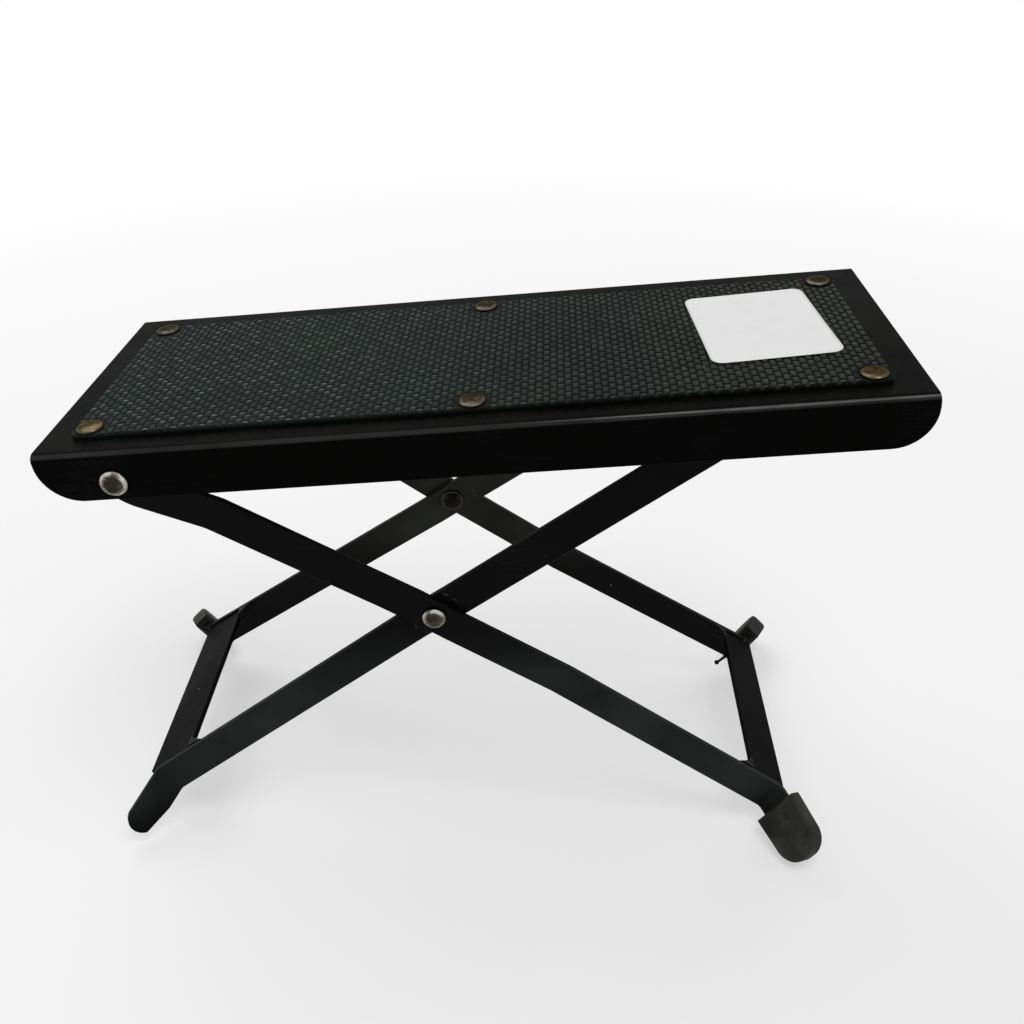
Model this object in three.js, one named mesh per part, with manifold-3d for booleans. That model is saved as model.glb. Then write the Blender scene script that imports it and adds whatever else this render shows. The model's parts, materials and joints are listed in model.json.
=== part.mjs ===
// Folding footrest for a guitarist, in millimetres, +X to the right, +Y away from the viewer, +Z up.
// A pressed steel tread is hinged at its left end to an outer pair of legs. An inner pair of legs
// crosses them like scissors, and its cross rod carries the tread in one of four notches.
// The footrest stands on the floor with the rod just below the notch of the highest setting.
import * as THREE from 'three';
import { mergeVertices } from 'three/addons/utils/BufferGeometryUtils.js';
import Module from 'manifold-3d';

const wasm = await Module();
wasm.setup();

// Driving dimensions

// Clearance between pieces that touch, and the overrun of every cutting shape.
const seatGap = 0.3;
const cutOver = 2;

// Pressed tread: top sheet with a flange turned down along both long sides.
const tread = { length: 300, width: 112, depth: 19, sheet: 1.2, bend: 3, corner: 14.5 };

// Hinge axis of the tread, from its left end and below its top.
const hinge = { inset: 26.3, drop: 12.1 };

// Rubber mat on the tread, by its margins from the edges of the sheet, and a little off centre.
const mat = { endMargin: 11.25, sideMargin: 11.5, thick: 2, corner: 2.5, shiftX: -0.6, shiftY: -2.2 };

// Rivets that hold the mat, by their insets from its edges. Each head has pressed its own seat
// into the rubber.
const matRivet = {
  head: 9.4,
  dome: 1.5,
  shank: 3.6,
  tail: 6.6,
  tailDome: 1.2,
  insetX: 5.75,
  insetY: 4.6,
  seatDepth: 0.5,
  facets: 20,
};

// Flat steel bar of the legs and of their crossbars.
const bar = { width: 14.3, thick: 2.1 };

// Each pair of legs, measured from the crossing: up to the top pivot and down to the foot bend,
// then the length of the tab, how far it is turned out and how far it dips below the bar's line.
// Its crossbar is given by its place, its width and how much farther from the crossing its far
// end is welded than its middle.
const outer = {
  upper: 125.3,
  reach: 168.3,
  tab: 25,
  turn: THREE.MathUtils.degToRad(58),
  dip: 0,
  crossbarAt: 162.7,
  crossbarWidth: 16.4,
  crossbarAskew: 0.6,
  bootMouth: 5.2,
};
const inner = {
  upper: 146.5,
  reach: 156,
  tab: 23,
  turn: THREE.MathUtils.degToRad(52),
  dip: 0,
  crossbarAt: 141.3,
  crossbarWidth: 22.4,
  crossbarAskew: 2,
  bootMouth: 4.7,
};

// The near inner bar is bent nearer to the crossing than the far one, along a slanting line, so
// that its tab dips towards the floor.
const innerNear = {
  reach: 145,
  tab: 25,
  turn: THREE.MathUtils.degToRad(38),
  dip: THREE.MathUtils.degToRad(12),
};

// Height of the crossbars above the middle line of the legs.
const crossbarRise = 5.2;

// Outer face of an outer leg from the middle plane, where it bows, and where it is set inwards.
const outerHalf = { joggle: 47.7, crossing: 42.2, bow: 40.9, foot: 46.2 };
const outerBowAt = 60;
const joggle = { start: 8, end: 34 };

// Outer face of an inner leg from the middle plane.
const innerHalf = { rod: 35.3, foot: 49 };

// Both bars are straight and parallel this far to either side of the crossing.
const crossFlat = 10;

// Angle between the upper halves of the two pairs of legs at the highest setting.
const opening = THREE.MathUtils.degToRad(109.5);

// Centre radius of the bends in the leg bars.
const bendRadius = { foot: 4, joggle: 12 };

// Cross rod between the tops of the inner legs, hanging below the top of the tread.
const rod = { diameter: 6, spigot: 4.6, drop: 14.5, peen: 7, peenThick: 1.2 };

// Notched rails of L section under the tread.
const rail = { thick: 2, foot: 10, offset: 22, leftMargin: 9, rightMargin: 6, bend: 3 };
const notch = { count: 4, pitch: 12, lead: 4.6, leadFrom: THREE.MathUtils.degToRad(135) };

// Rivets and washers at the hinge and at the crossing.
const hingeRivet = { head: 10, dome: 2.3, shank: 5, tail: 8, tailDome: 1.5, facets: 28 };
const crossRivet = { head: 9.4, dome: 2.1, shank: 5, tail: 7.6, tailDome: 1.5, facets: 28 };
const washer = { diameter: 10, thick: 0.8 };

// Weld fillets in the corners of the crossbars, on the side towards the crossing.
const weld = { alongBar: 7.5, alongCross: 6, thick: 4.4, sagShare: 0.3 };

// Rubber boots on the feet.
const boot = { sideWall: 3, faceWall: 2.9, endWall: 2.6, edge: 1.5, endShare: 0.93, corner: 7 };

// Signs of the two sides of the middle plane.
const sides = { near: -1, far: 1 };

// Facets of round forms, and settings of the numeric work.
const facets = { arc: 6, dome: 5, pin: 20, end: 10, bevel: 2 };
const weldTolerance = 1e-4;
const bisections = 60;
const quarter = Math.PI / 2;

// Finishes

const finish = {
  paint: { color: 0x0b0b0c, roughness: 0.42, metalness: 0.3 },
  weld: { color: 0x131415, roughness: 0.5, metalness: 0.3 },
  nickel: { color: 0xb9b2a2, roughness: 0.28, metalness: 1 },
  steel: { color: 0x6d6a66, roughness: 0.45, metalness: 1 },
  mat: { color: 0x252b2a, roughness: 0.85, metalness: 0 },
  rubber: { color: 0x1b1c1c, roughness: 0.8, metalness: 0 },
};

// Solids from geometry and back

function toSolid(geometry) {
  const bare = geometry.index ? geometry.toNonIndexed() : geometry.clone();
  bare.deleteAttribute('normal');
  bare.deleteAttribute('uv');
  const merged = mergeVertices(bare, weldTolerance);
  const surface = new wasm.Mesh({
    numProp: 3,
    vertProperties: new Float32Array(merged.attributes.position.array),
    triVerts: new Uint32Array(merged.index.array),
  });
  return new wasm.Manifold(surface);
}

function toGeometry(solid) {
  const surface = solid.getMesh();
  const geometry = new THREE.BufferGeometry();
  const places = new THREE.BufferAttribute(new Float32Array(surface.vertProperties), 3);
  geometry.setAttribute('position', places);
  geometry.setIndex(new THREE.BufferAttribute(new Uint32Array(surface.triVerts), 1));
  geometry.computeVertexNormals();
  return geometry;
}

function cut(geometry, cutters) {
  let solid = toSolid(geometry);
  for (const cutter of cutters) {
    solid = solid.subtract(toSolid(cutter));
  }
  return toGeometry(solid);
}

function keepInside(geometry, keepers) {
  let solid = toSolid(geometry);
  for (const keeper of keepers) {
    solid = solid.intersect(toSolid(keeper));
  }
  return toGeometry(solid);
}

function join(geometries) {
  let solid = toSolid(geometries[0]);
  for (const geometry of geometries.slice(1)) {
    solid = solid.add(toSolid(geometry));
  }
  return toGeometry(solid);
}

function piece(name, geometry, look) {
  const mesh = new THREE.Mesh(geometry, new THREE.MeshStandardMaterial(look));
  mesh.name = name;
  return mesh;
}

// Basic forms

// Extrudes an outline drawn in X and Y by a depth centred on its plane.
function centred(shape, depth, curveSegments = facets.arc) {
  const geometry = new THREE.ExtrudeGeometry(shape, { depth, bevelEnabled: false, curveSegments });
  return geometry.translate(0, 0, -depth / 2);
}

// An outline drawn in X and Z, given depth along Y.
function acrossY(shape, depth, curveSegments = facets.arc) {
  return centred(shape, depth, curveSegments).rotateX(quarter);
}

// An outline drawn in Y and Z, given length along X.
function alongX(shape, length) {
  const axes = new THREE.Matrix4().makeBasis(
    new THREE.Vector3(0, 1, 0),
    new THREE.Vector3(0, 0, 1),
    new THREE.Vector3(1, 0, 0),
  );
  return centred(shape, length).applyMatrix4(axes);
}

// A round pin along Y between two distances from the middle plane.
function pin(diameter, from, to) {
  const radius = diameter / 2;
  const geometry = new THREE.CylinderGeometry(radius, radius, to - from, facets.pin);
  return geometry.translate(0, (from + to) / 2, 0);
}

function polygon(points) {
  return new THREE.Shape(points.map(([x, y]) => new THREE.Vector2(x, y)));
}

// A rectangle with rounded corners about the origin.
function roundedRectangle(length, width, radius) {
  const x = length / 2 - radius;
  const y = width / 2 - radius;
  const shape = new THREE.Shape();
  shape.moveTo(-x, -y - radius);
  shape.lineTo(x, -y - radius);
  shape.absarc(x, -y, radius, -quarter, 0, false);
  shape.absarc(x, y, radius, 0, quarter, false);
  shape.absarc(-x, y, radius, quarter, 2 * quarter, false);
  shape.absarc(-x, -y, radius, 2 * quarter, 3 * quarter, false);
  return shape;
}

// A band of half-height wide up to x = end, with a half-round tip beyond it.
function roundTipped(start, end, radius, wide) {
  const shape = new THREE.Shape();
  shape.moveTo(start, -wide);
  shape.lineTo(end, -wide);
  shape.lineTo(end, -radius);
  shape.absarc(end, 0, radius, -quarter, quarter, false);
  shape.lineTo(end, wide);
  shape.lineTo(start, wide);
  return shape;
}

// A domed rivet along Y, its head outside and its formed tail inside, on the side given by a sign.
function rivet(size, side, headFace, tailFace) {
  const profile = [];
  for (let k = 0; k <= facets.dome; k += 1) {
    const angle = (quarter * k) / facets.dome;
    const radius = (size.tail / 2) * Math.sin(angle);
    profile.push(new THREE.Vector2(radius, tailFace - size.tailDome * Math.cos(angle)));
  }
  profile.push(new THREE.Vector2(size.shank / 2, tailFace));
  profile.push(new THREE.Vector2(size.shank / 2, headFace));
  for (let k = facets.dome; k >= 0; k -= 1) {
    const angle = (quarter * k) / facets.dome;
    const radius = (size.head / 2) * Math.sin(angle);
    profile.push(new THREE.Vector2(radius, headFace + size.dome * Math.cos(angle)));
  }
  const body = new THREE.LatheGeometry(profile, size.facets);
  return side > 0 ? body : body.rotateX(2 * quarter);
}

// A washer round a rivet shank, its outer face at the given distance from the middle plane.
function washerRing(size, side, face) {
  const ring = pin(washer.diameter, face - washer.thick, face);
  const hole = pin(size.shank + 2 * seatGap, face - washer.thick - cutOver, face + cutOver);
  const body = cut(ring, [hole]);
  return side > 0 ? body : body.rotateX(2 * quarter);
}

// Paths along a leg, in s from the crossing and y from the middle plane

// Outer face of a leg at s, straight between the stations.
function faceAt(stations, s) {
  const last = stations.length - 1;
  const index = stations.findIndex(([at], i) => i > 0 && (s <= at || i === last));
  const [s0, y0] = stations[index - 1];
  const [s1, y1] = stations[index];
  return y0 + ((y1 - y0) * (s - s0)) / (s1 - s0);
}

// Inner face of a leg at s, less the clearance of what is set against it.
function insideAt(stations, s) {
  return faceAt(stations, s) - bar.thick - seatGap;
}

// Points of a path whose corners are turned into arcs.
function roundedPath(corners) {
  const points = [];
  corners.forEach(({ at, radius }, i) => {
    if (!radius) {
      points.push(at.clone());
      return;
    }
    const into = at.clone().sub(corners[i - 1].at).normalize();
    const out = corners[i + 1].at.clone().sub(at).normalize();
    const turn = into.angleTo(out);
    const side = Math.sign(into.cross(out));
    const start = at.clone().addScaledVector(into, -radius * Math.tan(turn / 2));
    const normal = new THREE.Vector2(-into.y, into.x).multiplyScalar(side);
    const centre = start.clone().addScaledVector(normal, radius);
    const steps = Math.max(1, Math.ceil((turn / quarter) * facets.arc));
    for (let k = 0; k <= steps; k += 1) {
      points.push(start.clone().rotateAround(centre, (side * turn * k) / steps));
    }
  });
  return points;
}

// A strip of even thickness along a path.
function stripShape(path, thick) {
  const left = [];
  const right = [];
  path.forEach((point, i) => {
    const into = point.clone().sub(path[Math.max(0, i - 1)]);
    const out = path[Math.min(path.length - 1, i + 1)].clone().sub(point);
    const before = (into.lengthSq() > 0 ? into : out).clone().normalize();
    const after = (out.lengthSq() > 0 ? out : into).clone().normalize();
    const mean = before.clone().add(after).normalize();
    const normal = new THREE.Vector2(-mean.y, mean.x);
    const reach = thick / 2 / mean.dot(before);
    left.push(point.clone().addScaledVector(normal, reach));
    right.unshift(point.clone().addScaledVector(normal, -reach));
  });
  return new THREE.Shape([...left, ...right]);
}

// Leg bars. Feet point to +s on the outer legs and to -s on the inner ones

const halfBar = bar.width / 2;
const hingeFace = tread.width / 2 - tread.sheet - seatGap;
const innerCrossing = outerHalf.crossing - bar.thick - seatGap;

// The outer legs lie against the flange at the hinge, are set in from there to the crossing,
// and bow out again to the feet.
const outerPair = {
  ...outer,
  direction: 1,
  pinDiameter: hingeRivet.shank,
  stations: [
    [-outer.upper - halfBar, hingeFace],
    [-outer.upper + joggle.start, hingeFace],
    [-outer.upper + joggle.end, outerHalf.joggle],
    [-crossFlat, outerHalf.crossing],
    [crossFlat, outerHalf.crossing],
    [outerBowAt, outerHalf.bow],
    [outer.reach, outerHalf.foot],
  ],
};

// The inner legs lie against the outer ones at the crossing.
const innerPair = {
  ...inner,
  direction: -1,
  pinDiameter: rod.spigot,
  stations: [
    [-inner.reach, innerHalf.foot],
    [-crossFlat, innerCrossing],
    [crossFlat, innerCrossing],
    [inner.upper + halfBar, innerHalf.rod],
  ],
};

// The near inner bar follows the same path as far as its own bend.
function nearInnerBar() {
  const stations = [...innerPair.stations];
  stations[0] = [-innerNear.reach, faceAt(innerPair.stations, -innerNear.reach)];
  return { ...innerPair, ...innerNear, stations };
}

// The foot's own axes: along the tab, across its width, and through its thickness.
function footFrame(pair, side, dip = pair.dip) {
  const level = new THREE.Vector3(pair.direction * Math.cos(pair.turn), side * Math.sin(pair.turn), 0);
  const up = new THREE.Vector3(0, 0, 1);
  const along = level.clone().multiplyScalar(Math.cos(dip)).addScaledVector(up, -Math.sin(dip));
  const across = level.clone().multiplyScalar(Math.sin(dip)).addScaledVector(up, Math.cos(dip));
  const through = along.clone().cross(across);
  const s = pair.direction * pair.reach;
  const origin = new THREE.Vector3(s, side * (faceAt(pair.stations, s) - bar.thick / 2), 0);
  return new THREE.Matrix4().makeBasis(along, across, through).setPosition(origin);
}

// Centre path of a bar, from its top end to the tip of the tab.
function legPath(pair, side) {
  const places = pair.stations.map(([s, face]) => ({
    at: new THREE.Vector2(s, side * (face - bar.thick / 2)),
    radius: bendRadius.joggle,
  }));
  const top = pair.direction > 0 ? places[0] : places.at(-1);
  const foot = pair.direction > 0 ? places.at(-1) : places[0];
  top.radius = 0;
  foot.radius = bendRadius.foot;
  const tip = new THREE.Vector3(pair.tab, 0, 0).applyMatrix4(footFrame(pair, side, 0));
  const end = { at: new THREE.Vector2(tip.x, tip.y), radius: 0 };
  return roundedPath(pair.direction > 0 ? [...places, end] : [end, ...places]);
}

// Lets the part of a bar beyond its foot bend fall away from the bar's line.
function dipTab(strip, pair, side) {
  const toTab = footFrame(pair, side, 0).invert();
  const places = strip.attributes.position;
  for (let i = 0; i < places.count; i += 1) {
    const place = new THREE.Vector3().fromBufferAttribute(places, i);
    const beyond = Math.max(0, place.clone().applyMatrix4(toTab).x);
    places.setZ(i, place.z - beyond * Math.tan(pair.dip));
  }
  return strip;
}

// One bent bar with half-round ends and two holes.
function leg(pair, side) {
  const strip = centred(stripShape(legPath(pair, side), bar.thick), bar.width);
  dipTab(strip, pair, side);
  const length = pair.reach + pair.upper + pair.tab;
  const wide = halfBar + cutOver;
  const topTip = acrossY(roundTipped(-length, pair.upper, halfBar, wide), 2 * tread.width, facets.end);
  if (pair.direction > 0) {
    topTip.rotateZ(2 * quarter);
  }
  const tabEnd = roundTipped(-length, pair.tab - halfBar, halfBar, length);
  const tabTip = centred(tabEnd, 2 * length, facets.end);
  tabTip.applyMatrix4(footFrame(pair, side));
  const topHole = pin(pair.pinDiameter + 2 * seatGap, -tread.width, tread.width);
  topHole.translate(-pair.direction * pair.upper, 0, 0);
  const crossHole = pin(crossRivet.shank + 2 * seatGap, -tread.width, tread.width);
  return cut(keepInside(strip, [topTip, tabTip]), [topHole, crossHole]);
}

// Middle of a crossbar's width at its end on one side.
function crossbarMiddle(pair, side) {
  return pair.direction * (pair.crossbarAt + side * pair.crossbarAskew);
}

// A flat crossbar between two side bars, its ends cut to their lean.
function crossbar(pair) {
  const half = pair.crossbarWidth / 2;
  const corner = (s, side) => [s, side * insideAt(pair.stations, s)];
  const near = crossbarMiddle(pair, sides.near);
  const far = crossbarMiddle(pair, sides.far);
  const shape = polygon([
    corner(near - half, sides.near),
    corner(near + half, sides.near),
    corner(far + half, sides.far),
    corner(far - half, sides.far),
  ]);
  return centred(shape, bar.thick).translate(0, 0, crossbarRise);
}

// A weld fillet in the corner between a side bar and the crossbar's edge towards the crossing.
function weldFillet(pair, side) {
  const { stations, direction } = pair;
  const edge = crossbarMiddle(pair, side) - direction * (pair.crossbarWidth / 2 + seatGap);
  const start = edge - direction * weld.alongBar;
  const inside = insideAt(stations, edge);
  const lean = (side * direction * pair.crossbarAskew) / inside;
  const corner = new THREE.Vector2(edge, side * inside);
  const onBar = new THREE.Vector2(start, side * insideAt(stations, start));
  const onCross = new THREE.Vector2(edge - lean * weld.alongCross, side * (inside - weld.alongCross));
  const sag = onBar.clone().add(onCross).divideScalar(2).lerp(corner, weld.sagShare);
  const shape = new THREE.Shape();
  shape.moveTo(corner.x, corner.y);
  shape.lineTo(onBar.x, onBar.y);
  shape.quadraticCurveTo(sag.x, sag.y, onCross.x, onCross.y);
  return centred(shape, weld.thick).translate(0, 0, crossbarRise);
}

// Outline of a boot along its tab: tapering sides and a rounded end.
function bootOutline(mouth, end, halfMouth, halfEnd, corner) {
  const shape = new THREE.Shape();
  shape.moveTo(mouth, -halfMouth);
  shape.lineTo(end - corner, -halfEnd);
  shape.absarc(end - corner, corner - halfEnd, corner, -quarter, 0, false);
  shape.absarc(end - corner, halfEnd - corner, corner, 0, quarter, false);
  shape.lineTo(mouth, halfMouth);
  return shape;
}

// A boot over the tab, with soft edges and a pocket that follows the bar.
function footBoot(pair, side) {
  const halfPocket = halfBar + seatGap;
  const pocketEnd = pair.tab + seatGap;
  const halfMouth = halfPocket + boot.sideWall - boot.edge;
  const end = pocketEnd + boot.endWall - boot.edge;
  const outline = bootOutline(
    pair.bootMouth + boot.edge, end, halfMouth, halfMouth * boot.endShare, boot.corner,
  );
  const thick = bar.thick + 2 * (seatGap + boot.faceWall);
  const body = new THREE.ExtrudeGeometry(outline, {
    depth: thick - 2 * boot.edge,
    bevelEnabled: true,
    bevelSize: boot.edge,
    bevelThickness: boot.edge,
    bevelSegments: facets.bevel,
    curveSegments: facets.arc,
  });
  body.translate(0, 0, boot.edge - thick / 2);
  const pocketOutline = roundTipped(0, pocketEnd - halfPocket, halfPocket, halfPocket);
  const pocket = centred(pocketOutline, bar.thick + 2 * seatGap, facets.end);
  return cut(body, [pocket]).applyMatrix4(footFrame(pair, side));
}

// Tread, with its axes along the sheet and its origin on the hinge

const treadTop = hinge.drop;
const treadUnder = treadTop - tread.sheet;
const treadFoot = treadTop - tread.depth;
const treadLeft = -hinge.inset;
const treadRight = treadLeft + tread.length;
const treadMiddle = (treadLeft + treadRight) / 2;

// Section of the channel in Y and Z.
function channelSection() {
  const half = tread.width / 2;
  const insideHalf = half - tread.sheet;
  const bendHalf = half - tread.bend;
  const bendTop = treadTop - tread.bend;
  const insideBend = tread.bend - tread.sheet;
  const shape = new THREE.Shape();
  shape.moveTo(-half, treadFoot);
  shape.lineTo(-insideHalf, treadFoot);
  shape.absarc(-bendHalf, bendTop, insideBend, 2 * quarter, quarter, true);
  shape.absarc(bendHalf, bendTop, insideBend, quarter, 0, true);
  shape.lineTo(insideHalf, treadFoot);
  shape.lineTo(half, treadFoot);
  shape.absarc(bendHalf, bendTop, tread.bend, 0, quarter, false);
  shape.absarc(-bendHalf, bendTop, tread.bend, quarter, 2 * quarter, false);
  return shape;
}

// Side outline in X and Z: the flanges end in large rounded corners.
function treadSide() {
  const bottom = treadFoot + tread.corner;
  const shape = new THREE.Shape();
  shape.moveTo(treadLeft, treadTop + cutOver);
  shape.lineTo(treadLeft, bottom);
  shape.absarc(treadLeft + tread.corner, bottom, tread.corner, 2 * quarter, 3 * quarter, false);
  shape.absarc(treadRight - tread.corner, bottom, tread.corner, 3 * quarter, 4 * quarter, false);
  shape.lineTo(treadRight, treadTop + cutOver);
  return shape;
}

const matLength = tread.length - 2 * mat.endMargin;
const matWidth = tread.width - 2 * mat.sideMargin;
const matFace = treadTop + seatGap + mat.thick;
const matSeat = matFace - matRivet.seatDepth;

// Names and places of the six mat rivets.
function matRivetPlaces() {
  const spanX = matLength - 2 * matRivet.insetX;
  const spanY = matWidth - 2 * matRivet.insetY;
  const rows = { near: -1, far: 1 };
  const columns = { left: -1, middle: 0, right: 1 };
  return Object.entries(rows).flatMap(([row, rowSign]) => (
    Object.entries(columns).map(([column, columnSign]) => ({
      name: `mat_rivet_${row}_${column}`,
      x: treadMiddle + mat.shiftX + (columnSign * spanX) / 2,
      y: mat.shiftY + (rowSign * spanY) / 2,
    }))
  ));
}

function matRivetHole({ x, y }) {
  const hole = pin(matRivet.shank + 2 * seatGap, -tread.depth, tread.depth);
  return hole.rotateX(quarter).translate(x, y, treadTop);
}

function treadPlate() {
  const blank = alongX(channelSection(), tread.length + 2 * cutOver).translate(treadMiddle, 0, 0);
  const side = acrossY(treadSide(), tread.width + 2 * cutOver, facets.end);
  const hingeHole = pin(hingeRivet.shank + 2 * seatGap, -tread.width, tread.width);
  return cut(keepInside(blank, [side]), [hingeHole, ...matRivetPlaces().map(matRivetHole)]);
}

// Round seat that a rivet head has pressed into the mat, a little wider than the head.
function matRivetSeat({ x, y }) {
  const seat = pin(matRivet.head + 2 * seatGap, matSeat, matFace + cutOver);
  return seat.rotateX(quarter).translate(x, y, 0);
}

function rubberMat() {
  const slab = centred(roundedRectangle(matLength, matWidth, mat.corner), mat.thick);
  slab.translate(treadMiddle + mat.shiftX, mat.shiftY, matFace - mat.thick / 2);
  const places = matRivetPlaces();
  return cut(slab, [...places.map(matRivetHole), ...places.map(matRivetSeat)]);
}

function matRivetAt({ x, y }) {
  const body = rivet(matRivet, 1, matSeat + seatGap, treadUnder - seatGap);
  return body.rotateX(quarter).translate(x, y, 0);
}

// Notched rails and the rod that they rest on

// Place of the rod in the axes of the tread at the highest setting.
const hingeToRodSquared = outer.upper ** 2 + inner.upper ** 2
  - 2 * outer.upper * inner.upper * Math.cos(opening);
const rodHeight = treadTop - rod.drop;
const rodAlong = Math.sqrt(hingeToRodSquared - rodHeight ** 2);
const toothTip = rodHeight + rod.diameter / 2 + seatGap;

// Outline of one notch in X and Z: a half-round seat, sloped only on the side towards the hinge.
function notchOutline(middle) {
  const radius = rod.diameter / 2 + seatGap;
  const below = toothTip - cutOver;
  const shape = new THREE.Shape();
  shape.moveTo(middle + radius, below);
  shape.lineTo(middle + radius, toothTip);
  shape.absarc(middle, toothTip, radius, 0, notch.leadFrom, false);
  shape.lineTo(middle - notch.lead, toothTip);
  shape.lineTo(middle - notch.lead, below);
  return shape;
}

// The L section in Y and Z, for the far rail.
function railSection() {
  const top = treadUnder - seatGap;
  const bendY = rail.offset - rail.bend;
  const bendZ = top - rail.bend;
  const footEnd = rail.offset - rail.foot;
  const shape = new THREE.Shape();
  shape.moveTo(rail.offset, toothTip);
  shape.lineTo(rail.offset, bendZ);
  shape.absarc(bendY, bendZ, rail.bend, 0, quarter, false);
  shape.lineTo(footEnd, top);
  shape.lineTo(footEnd, top - rail.thick);
  shape.absarc(bendY, bendZ, rail.bend - rail.thick, quarter, 0, true);
  shape.lineTo(rail.offset - rail.thick, toothTip);
  return shape;
}

// The same outline on the other side of the middle plane.
function flipped(shape) {
  const points = shape.getPoints(facets.arc).map(({ x, y }) => new THREE.Vector2(-x, y));
  return new THREE.Shape(points.reverse());
}

function notchRail(side) {
  const left = rodAlong - rail.leftMargin;
  const right = rodAlong + (notch.count - 1) * notch.pitch + rail.rightMargin;
  const section = side > 0 ? railSection() : flipped(railSection());
  const blank = alongX(section, right - left).translate((left + right) / 2, 0, 0);
  const notches = [];
  for (let k = 0; k < notch.count; k += 1) {
    notches.push(acrossY(notchOutline(rodAlong + k * notch.pitch), tread.width, facets.end));
  }
  return cut(blank, notches);
}

// A rod between the legs with thinner ends peened over outside them.
function notchRod() {
  const face = faceAt(innerPair.stations, inner.upper);
  const inside = face - bar.thick - seatGap;
  const peenFace = face + seatGap;
  const end = peenFace + rod.peenThick;
  const body = pin(rod.diameter, -inside, inside);
  const spigots = pin(rod.spigot, -end, end);
  const farPeen = pin(rod.peen, peenFace, end);
  const nearPeen = pin(rod.peen, -end, -peenFace);
  return join([body, spigots, farPeen, nearPeen]).translate(inner.upper, 0, 0);
}

// The two pairs of legs and the tread, each in its own axes

const outerLegs = new THREE.Group();
const innerLegs = new THREE.Group();
const treadGroup = new THREE.Group();

function addOuterSide(name, side) {
  const head = outerHalf.crossing + seatGap;
  const washerFace = innerCrossing - bar.thick - seatGap;
  const tail = washerFace - washer.thick - seatGap;
  outerLegs.add(
    piece(`outer_leg_${name}`, leg(outerPair, side), finish.paint),
    piece(`outer_weld_${name}`, weldFillet(outerPair, side), finish.weld),
    piece(`outer_boot_${name}`, footBoot(outerPair, side), finish.rubber),
    piece(`crossing_rivet_${name}`, rivet(crossRivet, side, head, tail), finish.nickel),
    piece(`crossing_washer_${name}`, washerRing(crossRivet, side, washerFace), finish.steel),
  );
}

function addInnerSide(name, side) {
  const bent = side > 0 ? innerPair : nearInnerBar();
  innerLegs.add(
    piece(`inner_leg_${name}`, leg(bent, side), finish.paint),
    piece(`inner_weld_${name}`, weldFillet(innerPair, side), finish.weld),
  );
}

function addTreadSide(name, side) {
  const head = tread.width / 2 + seatGap;
  const washerFace = hingeFace - bar.thick - seatGap;
  const tail = washerFace - washer.thick - seatGap;
  treadGroup.add(
    piece(`hinge_rivet_${name}`, rivet(hingeRivet, side, head, tail), finish.nickel),
    piece(`hinge_washer_${name}`, washerRing(hingeRivet, side, washerFace), finish.steel),
    piece(`notch_rail_${name}`, notchRail(side), finish.paint),
  );
}

for (const [name, side] of Object.entries(sides)) {
  addOuterSide(name, side);
  addInnerSide(name, side);
  addTreadSide(name, side);
}
outerLegs.add(piece('outer_crossbar', crossbar(outerPair), finish.paint));
innerLegs.add(
  piece('inner_crossbar', crossbar(innerPair), finish.paint),
  piece('inner_boot_far', footBoot(innerPair, sides.far), finish.rubber),
  piece('notch_rod', notchRod(), finish.steel),
);
treadGroup.add(
  piece('tread_plate', treadPlate(), finish.paint),
  piece('rubber_mat', rubberMat(), finish.mat),
);
for (const place of matRivetPlaces()) {
  treadGroup.add(piece(place.name, matRivetAt(place), finish.nickel));
}

// Stance: both pairs of legs stand on one floor, and the tread lies over the rod

// How far a pair of legs reaches below the crossing when it leans by this slope.
function footDrop(group, direction, slope) {
  const place = new THREE.Vector3();
  let drop = 0;
  for (const { geometry } of group.children) {
    const places = geometry.attributes.position;
    for (let i = 0; i < places.count; i += 1) {
      place.fromBufferAttribute(places, i);
      drop = Math.max(drop, direction * place.x * Math.sin(slope) - place.z * Math.cos(slope));
    }
  }
  return drop;
}

// Slope of the outer legs at which both pairs reach equally far down.
function levelSlope() {
  let low = 0;
  let high = Math.PI - opening;
  for (let k = 0; k < bisections; k += 1) {
    const middle = (low + high) / 2;
    const innerDrop = footDrop(innerLegs, innerPair.direction, Math.PI - opening - middle);
    if (footDrop(outerLegs, outerPair.direction, middle) > innerDrop) {
      high = middle;
    } else {
      low = middle;
    }
  }
  return (low + high) / 2;
}

const outerSlope = levelSlope();
const innerSlope = Math.PI - opening - outerSlope;
const hingePlace = new THREE.Vector2(-Math.cos(outerSlope), Math.sin(outerSlope));
hingePlace.multiplyScalar(outer.upper);
const rodPlace = new THREE.Vector2(Math.cos(innerSlope), Math.sin(innerSlope));
rodPlace.multiplyScalar(inner.upper);
const toRod = rodPlace.clone().sub(hingePlace);
const treadSlope = Math.atan2(toRod.y, toRod.x) - Math.atan2(rodHeight, rodAlong);

outerLegs.rotation.y = outerSlope;
innerLegs.rotation.y = -innerSlope;
treadGroup.rotation.y = -treadSlope;
treadGroup.position.set(hingePlace.x, 0, hingePlace.y);

const assembly = new THREE.Group();
assembly.add(outerLegs, innerLegs, treadGroup);
const footrest = new THREE.Group();
footrest.add(assembly);

// The origin lies on the floor, under the middle of the whole footrest.
footrest.updateMatrixWorld(true);
const box = new THREE.Box3().setFromObject(footrest, true);
assembly.position.set(-(box.min.x + box.max.x) / 2, -(box.min.y + box.max.y) / 2, -box.min.z);
footrest.updateMatrixWorld(true);

export default footrest;
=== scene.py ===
"""Dresses a guitarist's folding footrest: finishes, fine meshes, lamps and a camera."""

import json
import logging
import math
import random
from abc import ABC, abstractmethod
from dataclasses import dataclass, field, replace
from enum import Enum
from typing import Any, Callable, ClassVar, Iterable, Sequence

import bpy
from mathutils import Matrix, Vector

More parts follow.
